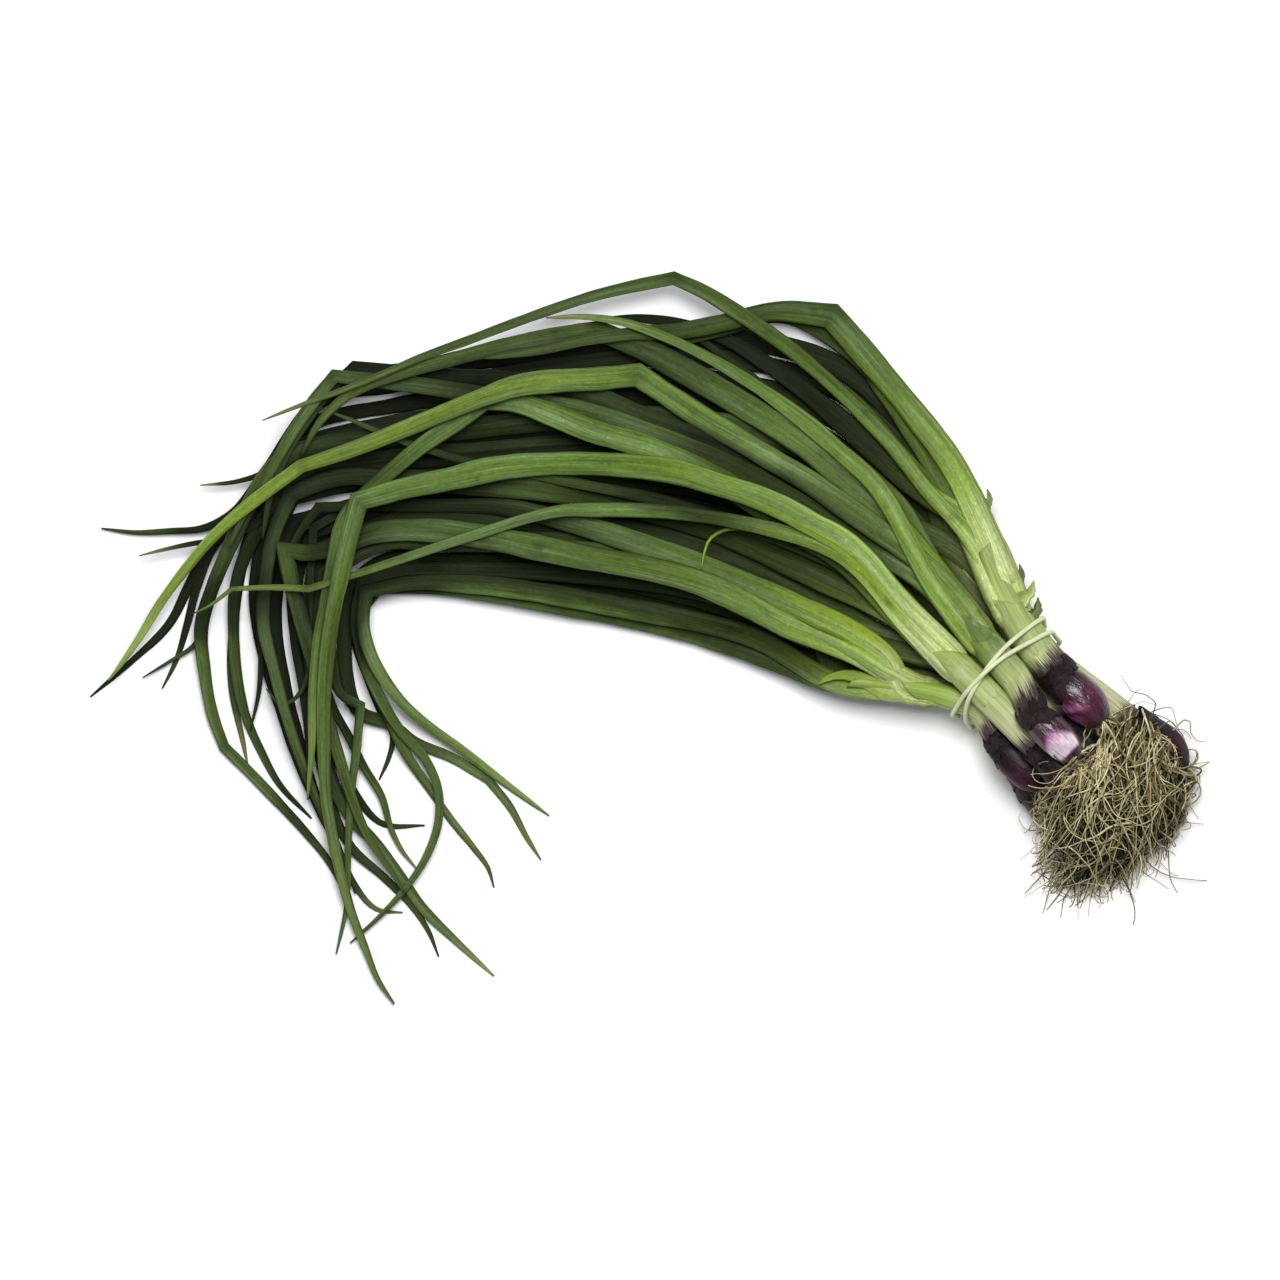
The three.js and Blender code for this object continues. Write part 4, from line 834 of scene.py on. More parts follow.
def addLeaf(maker, blade, draw):
    leaf = blade["leaf"]
    radius = onions[blade["onion"] - 1]["radius"]
    lead = leafLook["lead"]
    line = smoothLine(leafPoints(leaf, blade["order"], lead))
    folds = line["arc"][line["crease"]]
    at, mitres = leafRings(line, leaf, folds)
    x, y = (np.interp(at, line["arc"], line[k]) for k in ("x", "y"))
    wayX, wayY = leafWay(line, at, folds)
    laid = blade["arc"][-1]
    own = (at - lead) * laid / (line["arc"][-1] - lead)  # along the leaf as it was laid out
    z = smoothHeights(np.maximum(own, 0), blade["arc"], blade["z"])
    s = np.clip(own / laid, 0, 1)
    half, thick = ownShares(leaf, s, leafLook["flatten"])
    half = half * (1 + sum(height * waver(draw, at, length) for length, height in leafLook["uneven"]))
    slim, slimFrom, slimOver = leafLook["slimEnd"]
    half = half * (1 - slim * easeIn((s - slimFrom) / slimOver))
    sheathed = 1 - easeIn(own / leafLook["baseLength"])
    grown = leafLook["baseGrown"] + (1 - leafLook["baseGrown"]) * easeIn((own + lead) / lead)
    half = half + (leafLook["baseWidth"] * radius * grown - half) * sheathed
    thick = thick + (leafLook["baseThick"] * radius * grown - thick) * sheathed
    folded = 0 * at
    for crease in blade["creases"]:
        folded = np.maximum(folded, np.exp(-(((own - crease) / leafLook["foldReach"]) ** 2)))
    for fold, mitre in zip(folds, mitres):
        half = np.where(np.abs(at - fold) < 0.01, half * mitre, half)
    thick = np.maximum(leafLook["thinnest"], thick * (1 - leafLook["foldThin"] * folded))

    theta = around(leafLook["sides"])
    flat = 1 - leafLook["flatBeyond"] * sheathed[:, None]
    across, rise = (np.sign(wave) * np.abs(wave) ** (1 - (1 - leafLook[power]) * flat)
                    for wave, power in ((np.cos(theta), "flatWidth"), (np.sin(theta), "flatThick")))
    swingWave, swing = leafLook["channelSwing"]
    middle = (swing * waver(draw, at, swingWave))[:, None]
    hollow = np.clip(waver(draw, at, leafLook["channelWave"]) + leafLook["channelShare"], 0, 1)
    depth = (leafLook["channel"] * hollow * (1 - sheathed))[:, None]
    dip = np.exp(-(((across - middle) / leafLook["channelWidth"]) ** 2))
    rise = rise - depth * dip * (np.sin(theta) > 0.05)
    out, up = half[:, None] * across, thick[:, None] * rise
    lean = waver(draw, at, leafLook["tiltWave"]) + leafLook["tiltChance"] * (draw.random() - 0.5)
    roll = (leafLook["tilt"] * lean * (1 - sheathed) * (1 - leafLook["foldLevel"] * folded))[:, None]
    out, up = out * np.cos(roll) - up * np.sin(roll), out * np.sin(roll) + up * np.cos(roll)
    rings = np.stack([x[:, None] - wayY[:, None] * out, y[:, None] + wayX[:, None] * out,
                      np.maximum(0.05, z[:, None] + up)], axis=-1)

    tint = leafColour(leaf, own, laid, draw)[:, None, :]
    # Painted light and shade: the tint is darkened at the sides and underside, on one flank, in folds, deep
    # in the pile and beyond folds.
    low, over = leafLook["edgeRise"]
    shade = leafLook["edgeShade"] + (1 - leafLook["edgeShade"]) * easeIn((np.sin(theta) + low) / over)
    # Painted light and shade: one flank lighter and the other darker, as if the leaf were turned towards the
    # light.
    flankNear, flankFar = leafLook["flank"]
    turnFrom, turnOver = leafLook["flankTurn"]
    flank = flankNear + (flankFar - flankNear) * easeIn((s - turnFrom) / turnOver)
    wave, high = leafLook["flankWave"]
    side = leafLook["flankChance"] * (draw.random() - 0.5)
    side = np.clip(side + high * waver(draw, at, wave), -1, 1)
    shade = shade * (1 + (flank * side)[:, None] * np.cos(theta))
    # Painted shade in the folds.
    shade = shade * (1 - leafLook["foldShade"] * folded[:, None])
    # Painted shade: the deeper a ring lies under the top of the pile, the darker it is.
    deep = easeIn(depthUnder(*np.moveaxis(rings, -1, 0)) / leafLook["deepAt"])
    shade = shade * (1 - (1 - leafLook["deepShade"]) * deep)
    # Painted light and shade: beyond a fold the leaf faces the light another way, so its shade changes.
    (span, darker), (before, over) = leafLook["foldChange"], leafLook["foldFade"]
    for crease in blade["creases"]:
        beyond = easeIn((own - crease + before) / over)
        shade = shade * (1 + (span * draw.random() - darker) * beyond)[:, None]
    maker.addTube(rings, tint * shade[..., None], grain(leaf["half"], theta, at[:, None], draw))


stemLook = {
    "sides": 40,
    "step": 1.6,
    "slimming": (12, 30),  # from here on out, over this length, the leaves hide the stem
    "slim": 0.45,
    "ribs": ((7, 0.014), (12, 0.0098)),  # how many round the stem, and how high
    "leafEnd": (-34, -14),
    "bandAt": 2,
    "neckColour": paint(208, 204, 172),
    "bandColour": paint(184, 194, 134),
    "leafEndColours": {5: paint(140, 166, 70), 6: paint(170, 186, 108), 7: paint(160, 178, 98),
                       8: paint(86, 110, 46)},
    "leafEndColour": paint(122, 150, 64),
    "purpleReach": 15,
    "sheath": dict(start=2, end=-15, slant=12, proud=0.16, ragged=0.3),  # an outer skin round the stem
    "sheathTeeth": (3, 5, 8, 13, 17),
    "sheathRings": [(0, -0.4), (0.05, 0.6), (0.15, 1), (0.3, 1), (0.5, 1), (0.7, 1), (0.85, 1), (0.95, 0.95),
                    (1, 0.8), (1, -1.2)],  # along it, and how far it stands off
}

sheathSkin = {
    "roughness": 0.5,
    "specular": 0.25,
    "noises": {
        "veins": ((1.9, 1.9, 0.012), 3, 0.7),
        "broad": ((0.4, 0.4, 0.02), 2, 0.6),
        "cloudy": ((0.3, 0.3, 0.12), 4, 0.6),
        "streak": ((3, 3, 0.08), 4, 0.7),
    },
    "layers": [
        ("veins", 0.44, 0.68, 0, 0.7, paint(104, 126, 62)),
        ("broad", 0.32, 0.68, 0.7, 1.2),
        ("cloudy", 0.5, 0.72, 0, 0.45, paint(146, 168, 62)),
        ("cloudy", 0.46, 0.3, 0, 0.5, paint(196, 192, 158)),
    ],
    "bumps": [("veins", 0.0003, 0.6)],
    "purple": paint(46, 14, 36),
    "purpleFringe": (0.3, 0.7, -0.42, 0.42),
    "purpleEdge": (0.4, 0.75, 0, 0.96),
}


def sheathMaterial():
    skin = tintedMaterial("pale veined sheath", sheathSkin)
    tree = skin["tree"]
    fringe = mapTo(tree, skin["noises"]["streak"], *sheathSkin["purpleFringe"])
    purple = attribute(tree, "purple", "Fac")
    edge = addNode(tree, "ShaderNodeMath", {"operation": "ADD"}, i0=purple, i1=fringe)
    purple = mapTo(tree, edge.outputs[0], *sheathSkin["purpleEdge"])
    colour = mixColour(tree, purple, skin["colour"], sheathSkin["purple"])
    tree.links.new(colour, skin["shader"].inputs["Base Color"])
    return skin["material"]


def roundTube(number, along, radius, theta):  # rings round a stem; along and radius may vary with theta
    along = np.broadcast_to(along, np.broadcast_shapes(np.shape(along), np.shape(radius), theta[None].shape))
    stem = stems[number]
    z = smoothHeights(-along.ravel(), -stem["along"], stem["z"]).reshape(along.shape)
    return ringsRound(along, axisAt(onions[number - 1], along)[0], z, radius, theta, 0.05)


def stemColour(number, along):
    leafEnd = stemLook["leafEndColours"].get(number, stemLook["leafEndColour"])
    stops = [(spot, leafEnd) for spot in stemLook["leafEnd"]]
    stops.append((stemLook["bandAt"], stemLook["bandColour"]))
    stops.append((bulbStart(onions[number - 1]), stemLook["neckColour"]))
    return blendStops(stops, along)


def tornLip(theta, end, slant, facing, ragged, counts, draw):  # the ragged rim of a skin, which slants
    teeth = sum(np.sin(k * theta + anyAngle(draw)) / k**0.5 for k in counts)
    return end - slant * (0.5 + 0.5 * np.cos(theta - facing)) + ragged * teeth / 2


def addStem(maker, number, draw):
    onion = onions[number - 1]
    start = bulbStart(onion)
    along = np.arange(start, -pile["stemReach"], -stemLook["step"])
    theta = around(stemLook["sides"])
    slimFrom, slimOver = stemLook["slimming"]
    radius = onion["radius"] * (1 - (1 - stemLook["slim"]) * easeIn((-along - slimFrom) / slimOver))
    (many, high), (more, lower) = stemLook["ribs"]
    ribs = 1 + high * np.sin(many * theta + anyAngle(draw)) + lower * np.sin(more * theta + 2)
    rings = roundTube(number, along[:, None], radius[:, None] * ribs[None], theta)
    purple = easeIn((along - start + stemLook["purpleReach"]) / stemLook["purpleReach"])[:, None]
    fibre = grain(onion["radius"], theta, along[:, None], draw)
    maker.addTube(rings, stemColour(number, along)[:, None, :], fibre, purple, slot=1)


def addSheath(maker, number, draw):
    sheath = stemLook["sheath"]
    start, end, slant = sheath["start"], sheath["end"], sheath["slant"]
    theta = around(stemLook["sides"])
    facing = anyAngle(draw)
    taperFrom, taperOver = pile["stemTaper"]
    taper = (1 - pile["stemEndShare"]) * easeIn((-end - taperFrom) / taperOver)
    radius = onions[number - 1]["radius"] * (1 - taper)
    lip = tornLip(theta, end, slant, facing, sheath["ragged"], stemLook["sheathTeeth"], draw)
    shares, over = (np.array(column)[:, None] for column in zip(*stemLook["sheathRings"]))
    along = start + (lip[None] - start) * shares
    rings = roundTube(number, along, radius + over * sheath["proud"], theta)
    fibre = grain(radius, theta, along, draw)
    maker.addTube(rings, stemColour(number, along), fibre, slot=1)


# Torn scraps of old leaf beside a stem: spots, half widths and colour of each.
scraps = {6: [dict(spots=[(131, 10, 26), (135, 14, 26.5), (138.5, 17, 26), (139.5, 21, 25)],
                   halves=[2.4, 3, 1.7, 0.2], tint=paint(140, 156, 86)),
              dict(spots=[(134, 3, 27), (138, 7, 27), (140.8, 10.5, 26), (141, 15, 25)],
                   halves=[2.4, 2.6, 1.8, 0.2], tint=paint(84, 98, 52)),
              dict(spots=[(131, 14, 20), (134, 19.5, 20), (135.5, 23, 19), (134.5, 27, 18)],
                   halves=[2.4, 2.2, 1.2, 0.2], tint=paint(78, 100, 48)),
              dict(spots=[(119, 43, 16), (122, 47, 16), (124, 50.5, 16), (123, 54, 15)],
                   halves=[2.2, 2, 1.1, 0.2], tint=paint(104, 124, 64))]}
scrapShape = dict(steps=20, sides=10, thick=0.22, jagged=0.18, curl=0.4)


def addScrap(maker, scrap, draw):
    spots, at = routeThrough(scrap["spots"], scrapShape["steps"])
    way = np.gradient(spots[:, :2], axis=0)
    way /= np.linalg.norm(way, axis=1)[:, None]
    theta = around(scrapShape["sides"])
    teeth = np.array([[1 + scrapShape["jagged"] * draw.uniform(-1, 1) for _ in range(2)] for _ in at])
    half = np.interp(at, np.arange(len(scrap["halves"])), scrap["halves"])[:, None]
    half = half * np.where(np.cos(theta) > 0, teeth[:, :1], teeth[:, 1:])
    out = half * np.cos(theta)
    rise = scrapShape["thick"] * np.sin(theta) + scrapShape["curl"] * np.cos(theta) ** 2 * half
    rings = np.stack([spots[:, :1] - way[:, 1:] * out, spots[:, 1:2] + way[:, :1] * out,
                      spots[:, 2:] + rise], axis=-1)
    maker.addTube(rings, scrap["tint"], grain(2, theta, 4 * at[:, None], draw))


def makeLeafyStem(number, materials):
    draw = random.Random(40 + number)
    maker = MeshMaker()
    addStem(maker, number, draw)
    addSheath(maker, number, draw)
    for blade in blades:
        if blade["onion"] == number:
            addLeaf(maker, blade, draw)
    for scrap in scraps.get(number, []):
        addScrap(maker, scrap, draw)
    piece = maker.finish(f"onion{number}LeafyStem", materials)
    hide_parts(f"onion_{number}_leafy_stem")


# Shares of a bulb's radius, from its neck at 0 to its root end at 1.
bulbShares = [(0, 0.72), (0.12, 0.8), (0.3, 0.95), (0.45, 1), (0.55, 1), (0.7, 0.95), (0.84, 0.78),
              (0.94, 0.55), (1, 0.36)]

bulbLook = {
    "sides": 56,
    "rows": 44,
    "collar": [(-2.2, 0.9), (-1.98, 1.03), (-0.88, 1.04)],  # laps over the stem: place, share of its radius
    "neck": (1.03, 0.12),  # as wide as this share of the stem, up to here
    "ripples": [(5, 0.008), (9, 0.006)],
    "lumps": 0.02,
    "stops": [(0, paint(44, 14, 28) * 0.5), (0.3, paint(44, 14, 28)), (0.55, paint(84, 27, 56)),
              (0.8, paint(84, 27, 56)), (0.93, paint(44, 14, 28)), (1, paint(62, 30, 40))],
    # the colour of a bulb's painted highlight
    "paintedHighlight": paint(190, 120, 168),
    "blush": paint(168, 104, 150),
    "pale": paint(238, 218, 230),
    "skin": paint(30, 15, 19),
    "shades": {1: 0.14, 2: 0.2, 3: 0.26, 4: 0.06, 5: 0.3, 6: 0.9, 7: 0.3, 8: 0.9},  # painted shade: the lower bulbs, deeper in the pile, are darker
    "slimness": {6: 0.88, 8: 0.9},  # of a bulb that looks slimmer than its solid
    "patches": {8: 1.0},  # how strongly a pale patch shows where the skin is torn
    "patchAt": (0.34, 0.86),  # from here to here along the bulb
    "patchGrows": (0.32, 1.6),  # over this share of the bulb, and how much sooner it is bright
    "patchEdges": (0.4, 0.05),  # how soft it is at its sides, in radians, and at its end
    "patchReach": (0.15, 1.15),  # pointed towards the neck, then wider, in radians
    "patchFacing": 1.75,
    "ripens": (0.1, 0.28),  # how far into the patch it turns from blush to pale
    "gleams": {6: 0.7, 8: 0.0},  # how strongly a bulb's painted highlight shows, in brighter streaks
    "usualGleam": 0.2,
    "gleamAt": (0.62, 0.2),
    "gleamFacing": 2.5,
    "glossy": (6, 8),
    "teeth": (3, 7, 12, 19, 26),
    "skins": [  # torn dry skins round the neck, from the bulb's start, with a lip that slants
        dict(start=0.5, end=9, slant=5, turn=0, proud=0.3, ragged=2.4),
        dict(start=-1.5, end=4.5, slant=3, turn=2.4, proud=0.6, ragged=2.2),
    ],
    "skinRings": [(0, -0.9), (0, 0.4), (0.06, 0.9), (0.15, 1), (0.25, 1), (0.36, 1.1), (0.48, 1), (0.6, 0.9),
                  (0.72, 1), (0.84, 1.1), (0.93, 1.2), (1, 1.1), (1, -0.6)],
    "skinCrumple": 0.25,
    "skinGrain": 8,
}

bulbSkin = {
    "noises": {
        "veins": ((1.5, 1.5, 0.05), 4, 0.7),
        "patch": ((0.2, 0.2, 0.12), 3, 0.6),
        "wrinkles": ((0.34, 0.34, 0.16), 3, 0.6),
    },
    "layers": [("veins", 0.32, 0.68, 0.62, 1.26), ("patch", 0.3, 0.7, 0.6, 1.3)],
    "bumps": [("veins", 0.00022, 0.5), ("wrinkles", 0.002, 0.6)],
    "roughnessRange": 0.18,
    "coatRoughness": 0.18,
}
glossySkin = dict(bulbSkin, roughness=0.24, coat=0.3, specular=0.5)
dullSkin = dict(bulbSkin, roughness=0.46, coat=0.05, specular=0.2)
tornSkin = {
    "roughness": 0.5,
    "specular": 0.2,
    "noises": {"fine": ((1.8, 1.8, 0.07), 5, 0.6), "patch": ((0.35, 0.35, 0.15), 3, 0.6)},
    "layers": [("fine", 0.3, 0.7, 0.4, 1.7), ("patch", 0.55, 0.75, 0, 0.3, paint(84, 48, 58))],
    "bumps": [("fine", 0.0006, 0.9)],
}


def bulbMaterial(name, look):
    skin = tintedMaterial(name, look)
    inputs = skin["shader"].inputs
    rough = look["roughness"]
    rough = mapTo(skin["tree"], skin["noises"]["patch"], 0.3, 0.7, rough, rough + look["roughnessRange"])
    skin["tree"].links.new(rough, inputs["Roughness"])
    inputs["Coat Weight"].default_value = look["coat"]
    inputs["Coat Roughness"].default_value = look["coatRoughness"]
    return skin["material"]


def bulbRadius(number, along):
    onion = onions[number - 1]
    share = np.clip((along - bulbStart(onion) - pile["gap"]) / (pile["bulbLength"] - pile["gap"]), 0, 1)
    places, shares = (np.array(column) for column in zip(*bulbShares))
    curve = smoothHeights(share.ravel(), places, shares).reshape(share.shape)
    widest = onion["bulb"]["radius"] * bulbLook["slimness"].get(number, 1)
    neck, neckEnd = bulbLook["neck"]
    return np.maximum(widest * curve, onion["radius"] * neck * (share < neckEnd))


def addTornSkin(maker, number, skin, facing, draw):
    onion = onions[number - 1]
    start, end = bulbStart(onion) + skin["start"], bulbStart(onion) + skin["end"]
    ragged = skin["ragged"]
    theta = around(bulbLook["sides"])
    lip = tornLip(theta, end, skin["slant"], facing + skin["turn"], ragged, bulbLook["teeth"], draw)
    foot = start + 0.5 * ragged * np.sin(6 * theta + anyAngle(draw)) + 0.4 * ragged * np.sin(15 * theta)
    shares, over = (np.array(column)[:, None] for column in zip(*bulbLook["skinRings"]))
    along = foot[None] + (lip[None] - foot[None]) * shares
    crumple = bulbLook["skinCrumple"] * np.sin(4 * theta + 0.6 * along)
    radius = bulbRadius(number, along) + over * skin["proud"] + crumple
    rings = ringsRound(along, *axisAt(onion, along), radius, theta, 0)
    fibre = grain(bulbLook["skinGrain"], theta, along, draw)
    # The torn skins take their bulb's painted shade.
    maker.addTube(rings, bulbLook["skin"] * bulbLook["shades"][number], fibre, slot=1)


def bulbTint(number, share, theta):  # share runs down the rows and theta round them
    tint = blendStops(bulbLook["stops"], share)
    patchStart, patchEnd = bulbLook["patchAt"]
    (growsOver, sooner), (softSide, softEnd) = bulbLook["patchGrows"], bulbLook["patchEdges"]
    grown = np.clip((share - patchStart) / growsOver, 0, 1)
    point, wider = bulbLook["patchReach"]
    reach = point + wider * grown
    patch = easeIn(grown * sooner) * easeIn((reach - np.abs(theta - bulbLook["patchFacing"])) / softSide)
    patch = bulbLook["patches"].get(number, 0) * (patch * easeIn((patchEnd - share) / softEnd))[..., None]
    ripeFrom, ripeOver = bulbLook["ripens"]
    ripe = easeIn((share - patchStart - ripeFrom) / ripeOver)[..., None]
    tint = tint * (1 - patch) + (bulbLook["blush"] * (1 - ripe) + bulbLook["pale"] * ripe) * patch
    # A painted highlight on the side that faces gleamFacing, broken into streaks.
    at, wide = bulbLook["gleamAt"]
    faced = np.clip(np.cos(theta - bulbLook["gleamFacing"]), 0, 1) ** 3
    gleam = np.exp(-(((share - at) / wide) ** 2)) * faced
    gleam = gleam * (0.5 + 0.5 * np.sin(5 * theta + 7 * share + 2 * np.sin(11 * share)))
    gleam = bulbLook["gleams"].get(number, bulbLook["usualGleam"]) * gleam[..., None]
    # The painted shade darkens the whole bulb.
    return (tint * (1 - gleam) + bulbLook["paintedHighlight"] * gleam) * bulbLook["shades"][number]


def makeBulb(number, materials):
    onion = onions[number - 1]
    draw = random.Random(80 + number)
    maker = MeshMaker()
    start = bulbStart(onion)
    theta = around(bulbLook["sides"])
    s = np.linspace(0, 1, bulbLook["rows"])
    along = start + pile["gap"] + s * (pile["bulbLength"] - pile["gap"])
    collarAt, collarWide = (np.array(column) for column in zip(*bulbLook["collar"]))
    radius = np.concatenate([onion["radius"] * collarWide, bulbRadius(number, along)])[:, None]
    along = np.concatenate([start + collarAt, along])[:, None]
    share = np.concatenate([0 * collarAt, s])[:, None]
    uneven = 1 + sum(high * np.sin(many * theta + anyAngle(draw)) for many, high in bulbLook["ripples"])
    waves = np.sin(3 * theta + 8 * share + anyAngle(draw)) * np.sin(7 * share + 1)
    uneven = uneven + bulbLook["lumps"] * waves * easeIn(share / 0.2)
    rings = ringsRound(along, *axisAt(onion, along), radius * uneven, theta, 0)
    fibre = grain(onion["bulb"]["radius"], theta, along, draw)
    maker.addTube(rings, bulbTint(number, share, theta), fibre)
    facing = anyAngle(draw)
    for skin in bulbLook["skins"]:
        addTornSkin(maker, number, skin, facing, draw)
    piece = maker.finish(f"onion{number}Bulb", materials)
    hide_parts(f"onion_{number}_bulb")


leafyMaterials = [leafMaterial(), sheathMaterial()]
glossy = bulbMaterial("glossy purple skin", glossySkin)
dull = bulbMaterial("dull purple skin", dullSkin)
torn = tintedMaterial("dry torn skin", tornSkin)["material"]
for number in range(1, len(onions) + 1):
    makeLeafyStem(number, leafyMaterials)
    makeBulb(number, [glossy if number in bulbLook["glossy"] else dull, torn])
print("made the onions")

rootLook = {
    "middle": (168, -57),
    "reach": (27, 38),  # the mat's half width and half length
    "turn": 0.49,  # of its length from +Y towards +X
    "top": 34,
    "radius": 0.4,
    "radiusRange": (0.5, 0.65),
    "taper": 0.35,
    "sides": 4,
    "lift": 0.1,  # the thickest lie this far off the table
    "hangFrom": -74,  # further down the roots hang free
    "colours": (paint(230, 222, 180), paint(196, 185, 138), paint(130, 118, 76), paint(66, 56, 33)),
    "darkness": 1.15,  # the power that makes dark strands rarer
    "deepShade": 0.08,  # painted shade: what is left of a strand's colour deep in the mat
    "deepOver": (0.3, 5.5),
    "leastRings": 6,
    "eggShare": 0.54,  # half a bulb's length, as a share of it, with room for the roots beside it
    "coverShare": 0.52,  # and with room for the strands above it
}

# The roots that grow out of the bulbs' ends.
rootGrowth = {
    "seed": 7,
    "eachOnion": 34,
    "steps": 24,
    "step": 2.2,
    "plate": 3.0,  # the radius they leave a bulb from
    "inset": 0.5,  # they start this deep in it, with a step of this share
    "straight": 2,  # steps before they feel the sweep
    "spread": (0.9, 0.3),
    "droopAbove": 32,  # the roots of bulbs this high up hang down from them
    "droop": dict(end=0.47, onward=0.35, down=1.2, spread=0.5),
    "upright": dict(end=0.5, onward=1, down=0, spread=1),
    "swing": (0.85, 0.5),
    "wander": 0.2,
    "sweep": (0.0, -0.075, -0.03),
    "domeEdge": 1.05,
    "turnBack": (0.86, 3.5, 1.2, 0.15),  # from this share of the reach: how fast, how much, if it hangs free
    "aimUp": 8.0,
    "sink": (0.12, 0.7),  # how strands that stand out of the mat turn down
    "offBulbs": 0.7,
    "shortest": 0.6,
}

# The strands that lie over the heap.
matGrowth = {
    "seed": 11,
    "strands": 720,
    "steps": (13, 22),
    "step": 1.7,
    "rimSpread": 2,
    "startBack": 0.6,
    "towardsRim": 0.55,
    "facing": math.radians(-112),
    "spread": 0.55,
    "fan": 0.02,  # how much further to the right the strands on the right flow, in radians a millimetre
    "rimShare": (0.94, 0.4),
    "layers": 0.8,
    "low": 0.35,
    "lowBulbs": 3,  # these are covered by all strands
    "overFrom": 0.68,  # the share of the strands that stays below the other bulbs
    "overBulbs": 0.7,  # strands lie this far over a bulb
    "lowest": 0.6,
    "swing": (0.7, 0.6),
    "wander": 0.2,
    "flow": (-0.02, -0.1),
    "turnBack": (0.85, 4, 1.5, 0.1),
    "ends": (1.04, 5, 0.92),  # what hangs out of the mat soon ends
    "steepest": 2.2,
}

# Thin roots that hang out below the mat.
wispGrowth = {
    "count": 60,
    "from": (147, -82),
    "along": 34,
    "dip": (7, 0.4, 3),
    "facing": -118,  # degrees
    "spread": 15.6,
    "length": (7, 12, 0.45),
    "points": 9,
    "bend": 0.05,
    "heights": (7, 4, 0.7),
}

# A dark core of matted fibre that the roots wrap; its dark colour is painted shade for the gaps between the
# strands.
heart = {
    "middle": (168, -58, 9),
    "size": (20, 22, 11),
    "rows": 22,
    "sides": 30,
    "lumps": 0.1,
    "grain": 12,
    "colour": paint(40, 33, 17),
}

# The mat's rim in plan, clockwise from above the topmost bulb's root end.
matRim = [(163, -29), (170, -21), (178, -22), (185, -26), (189, -33), (193, -41), (196, -48), (196, -56),
          (194, -66), (190, -72), (182, -77), (174, -84), (165, -88), (155, -90), (148, -84), (144, -73),
          (141, -62), (137, -52), (139, -45), (146, -42), (153, -41), (160, -40), (164, -36)]

# Single roots that stray out of the mat.
strays = [[(171, -13, 14), (173, -16, 16), (175, -19, 17), (180, -20, 17), (184, -23, 16), (182, -29, 17)],
          [(202, -37, 6), (199, -37, 8), (196.5, -34, 10), (196.5, -30, 12), (194, -29, 13), (190, -33, 14)],
          [(200, -65, 1), (197, -61, 3), (195, -56, 7), (193, -51, 10)],
          [(136, -62, 6), (134.5, -65, 5), (137, -69, 4), (141, -69, 5), (146, -67, 8)],
          [(202, -67, 2), (197, -66.5, 4), (192, -66, 8)],
          [(145, -98, 0.6), (149, -93, 1), (152, -88, 3), (155, -80, 7)],
          [(150, -101, 0.6), (151, -94, 1), (156, -86, 4)],
          [(160, -100, 0.6), (161, -92, 1), (164, -84, 5)],
          [(170, -88, 0.6), (175, -84, 2), (178, -78, 6)]]

rootSkin = {
    "roughness": 0.8,
    "specular": 0.15,
    "noises": {"bits": ((0.8, 0.8, 0.35), 3, 0.6)},
    "layers": [("bits", 0.3, 0.7, 0.6, 1.3)],
    "bumps": [("bits", 0.0003, 0.5)],
}


def matShare(x, y):  # 1 at the edge of the mat in plan
    rx, ry = x - rootLook["middle"][0], y - rootLook["middle"][1]
    turn = rootLook["turn"]
    wide = rx * math.cos(turn) - ry * math.sin(turn)
    tall = rx * math.sin(turn) + ry * math.cos(turn)
    return np.hypot(wide / rootLook["reach"][0], tall / rootLook["reach"][1])


def rimShare(p):  # how far out in the mat points lie, 1 at its rim
    middle = np.array(rootLook["middle"])
    rim = np.array(matRim) - middle
    angles = np.unwrap(np.arctan2(rim[:, 1], rim[:, 0])) % (2 * math.pi)
    order = np.argsort(angles)
    rel = p[:, :2] - middle
    reach = np.interp(np.arctan2(rel[:, 1], rel[:, 0]) % (2 * math.pi), angles[order],
                      np.hypot(rim[:, 0], rim[:, 1])[order], period=2 * math.pi)
    return np.hypot(rel[:, 0], rel[:, 1]) / reach


def domeAt(share):  # how high the mat reaches
    return rootLook["top"] * np.sqrt(np.clip(1.04 - share**2, 0, 1))


def turnBack(spots, share, look):  # how strongly strands near the rim turn back in
    start, slope, most, hanging = look
    held = np.where(spots[:, 1] > rootLook["hangFrom"], 1.0, hanging)
    return (np.clip((share - start) * slope, 0, most) * held)[:, None]


def seenFrom(onion, x, y):  # places in plan along and across a bulb, and the height of its middle
    across, up = axisAt(onion, onion["bulb"]["along"])
    midX, midY = place(onion["bulb"]["along"], across)
    along = (x - midX) * direction[0] + (y - midY) * direction[1]
    return along, (x - midX) * sideways[0] + (y - midY) * sideways[1], up


def clearOfBulbs(p, margin):  # moves points out of the bulbs, which count as eggs
    for onion in onions:
        radius = onion["bulb"]["radius"]
        a, b, up = seenFrom(onion, p[:, 0], p[:, 1])
        rise = p[:, 2] - up
        along = a / (pile["bulbLength"] * rootLook["eggShare"])
        share = np.sqrt(along**2 + (b**2 + rise**2) / radius**2)
        push = np.clip(1 + margin / radius - share, 0, None) * radius / np.maximum(0.01, np.hypot(b, rise))
        p += push[:, None] * np.stack([b * sideways[0], b * sideways[1], rise], axis=-1)
    return p


def overBulbs(x, y, some):  # how high some bulbs reach at places in plan, 0 beside them
    top = np.zeros(np.shape(x))
    for onion in some:
        radius = onion["bulb"]["radius"]
        a, b, up = seenFrom(onion, x, y)
        left = 1 - (a / (pile["bulbLength"] * rootLook["coverShare"])) ** 2 - (b / radius) ** 2
        top = np.maximum(top, (up + radius * np.sqrt(np.clip(left, 0, 1))) * (left > 0))
    return top


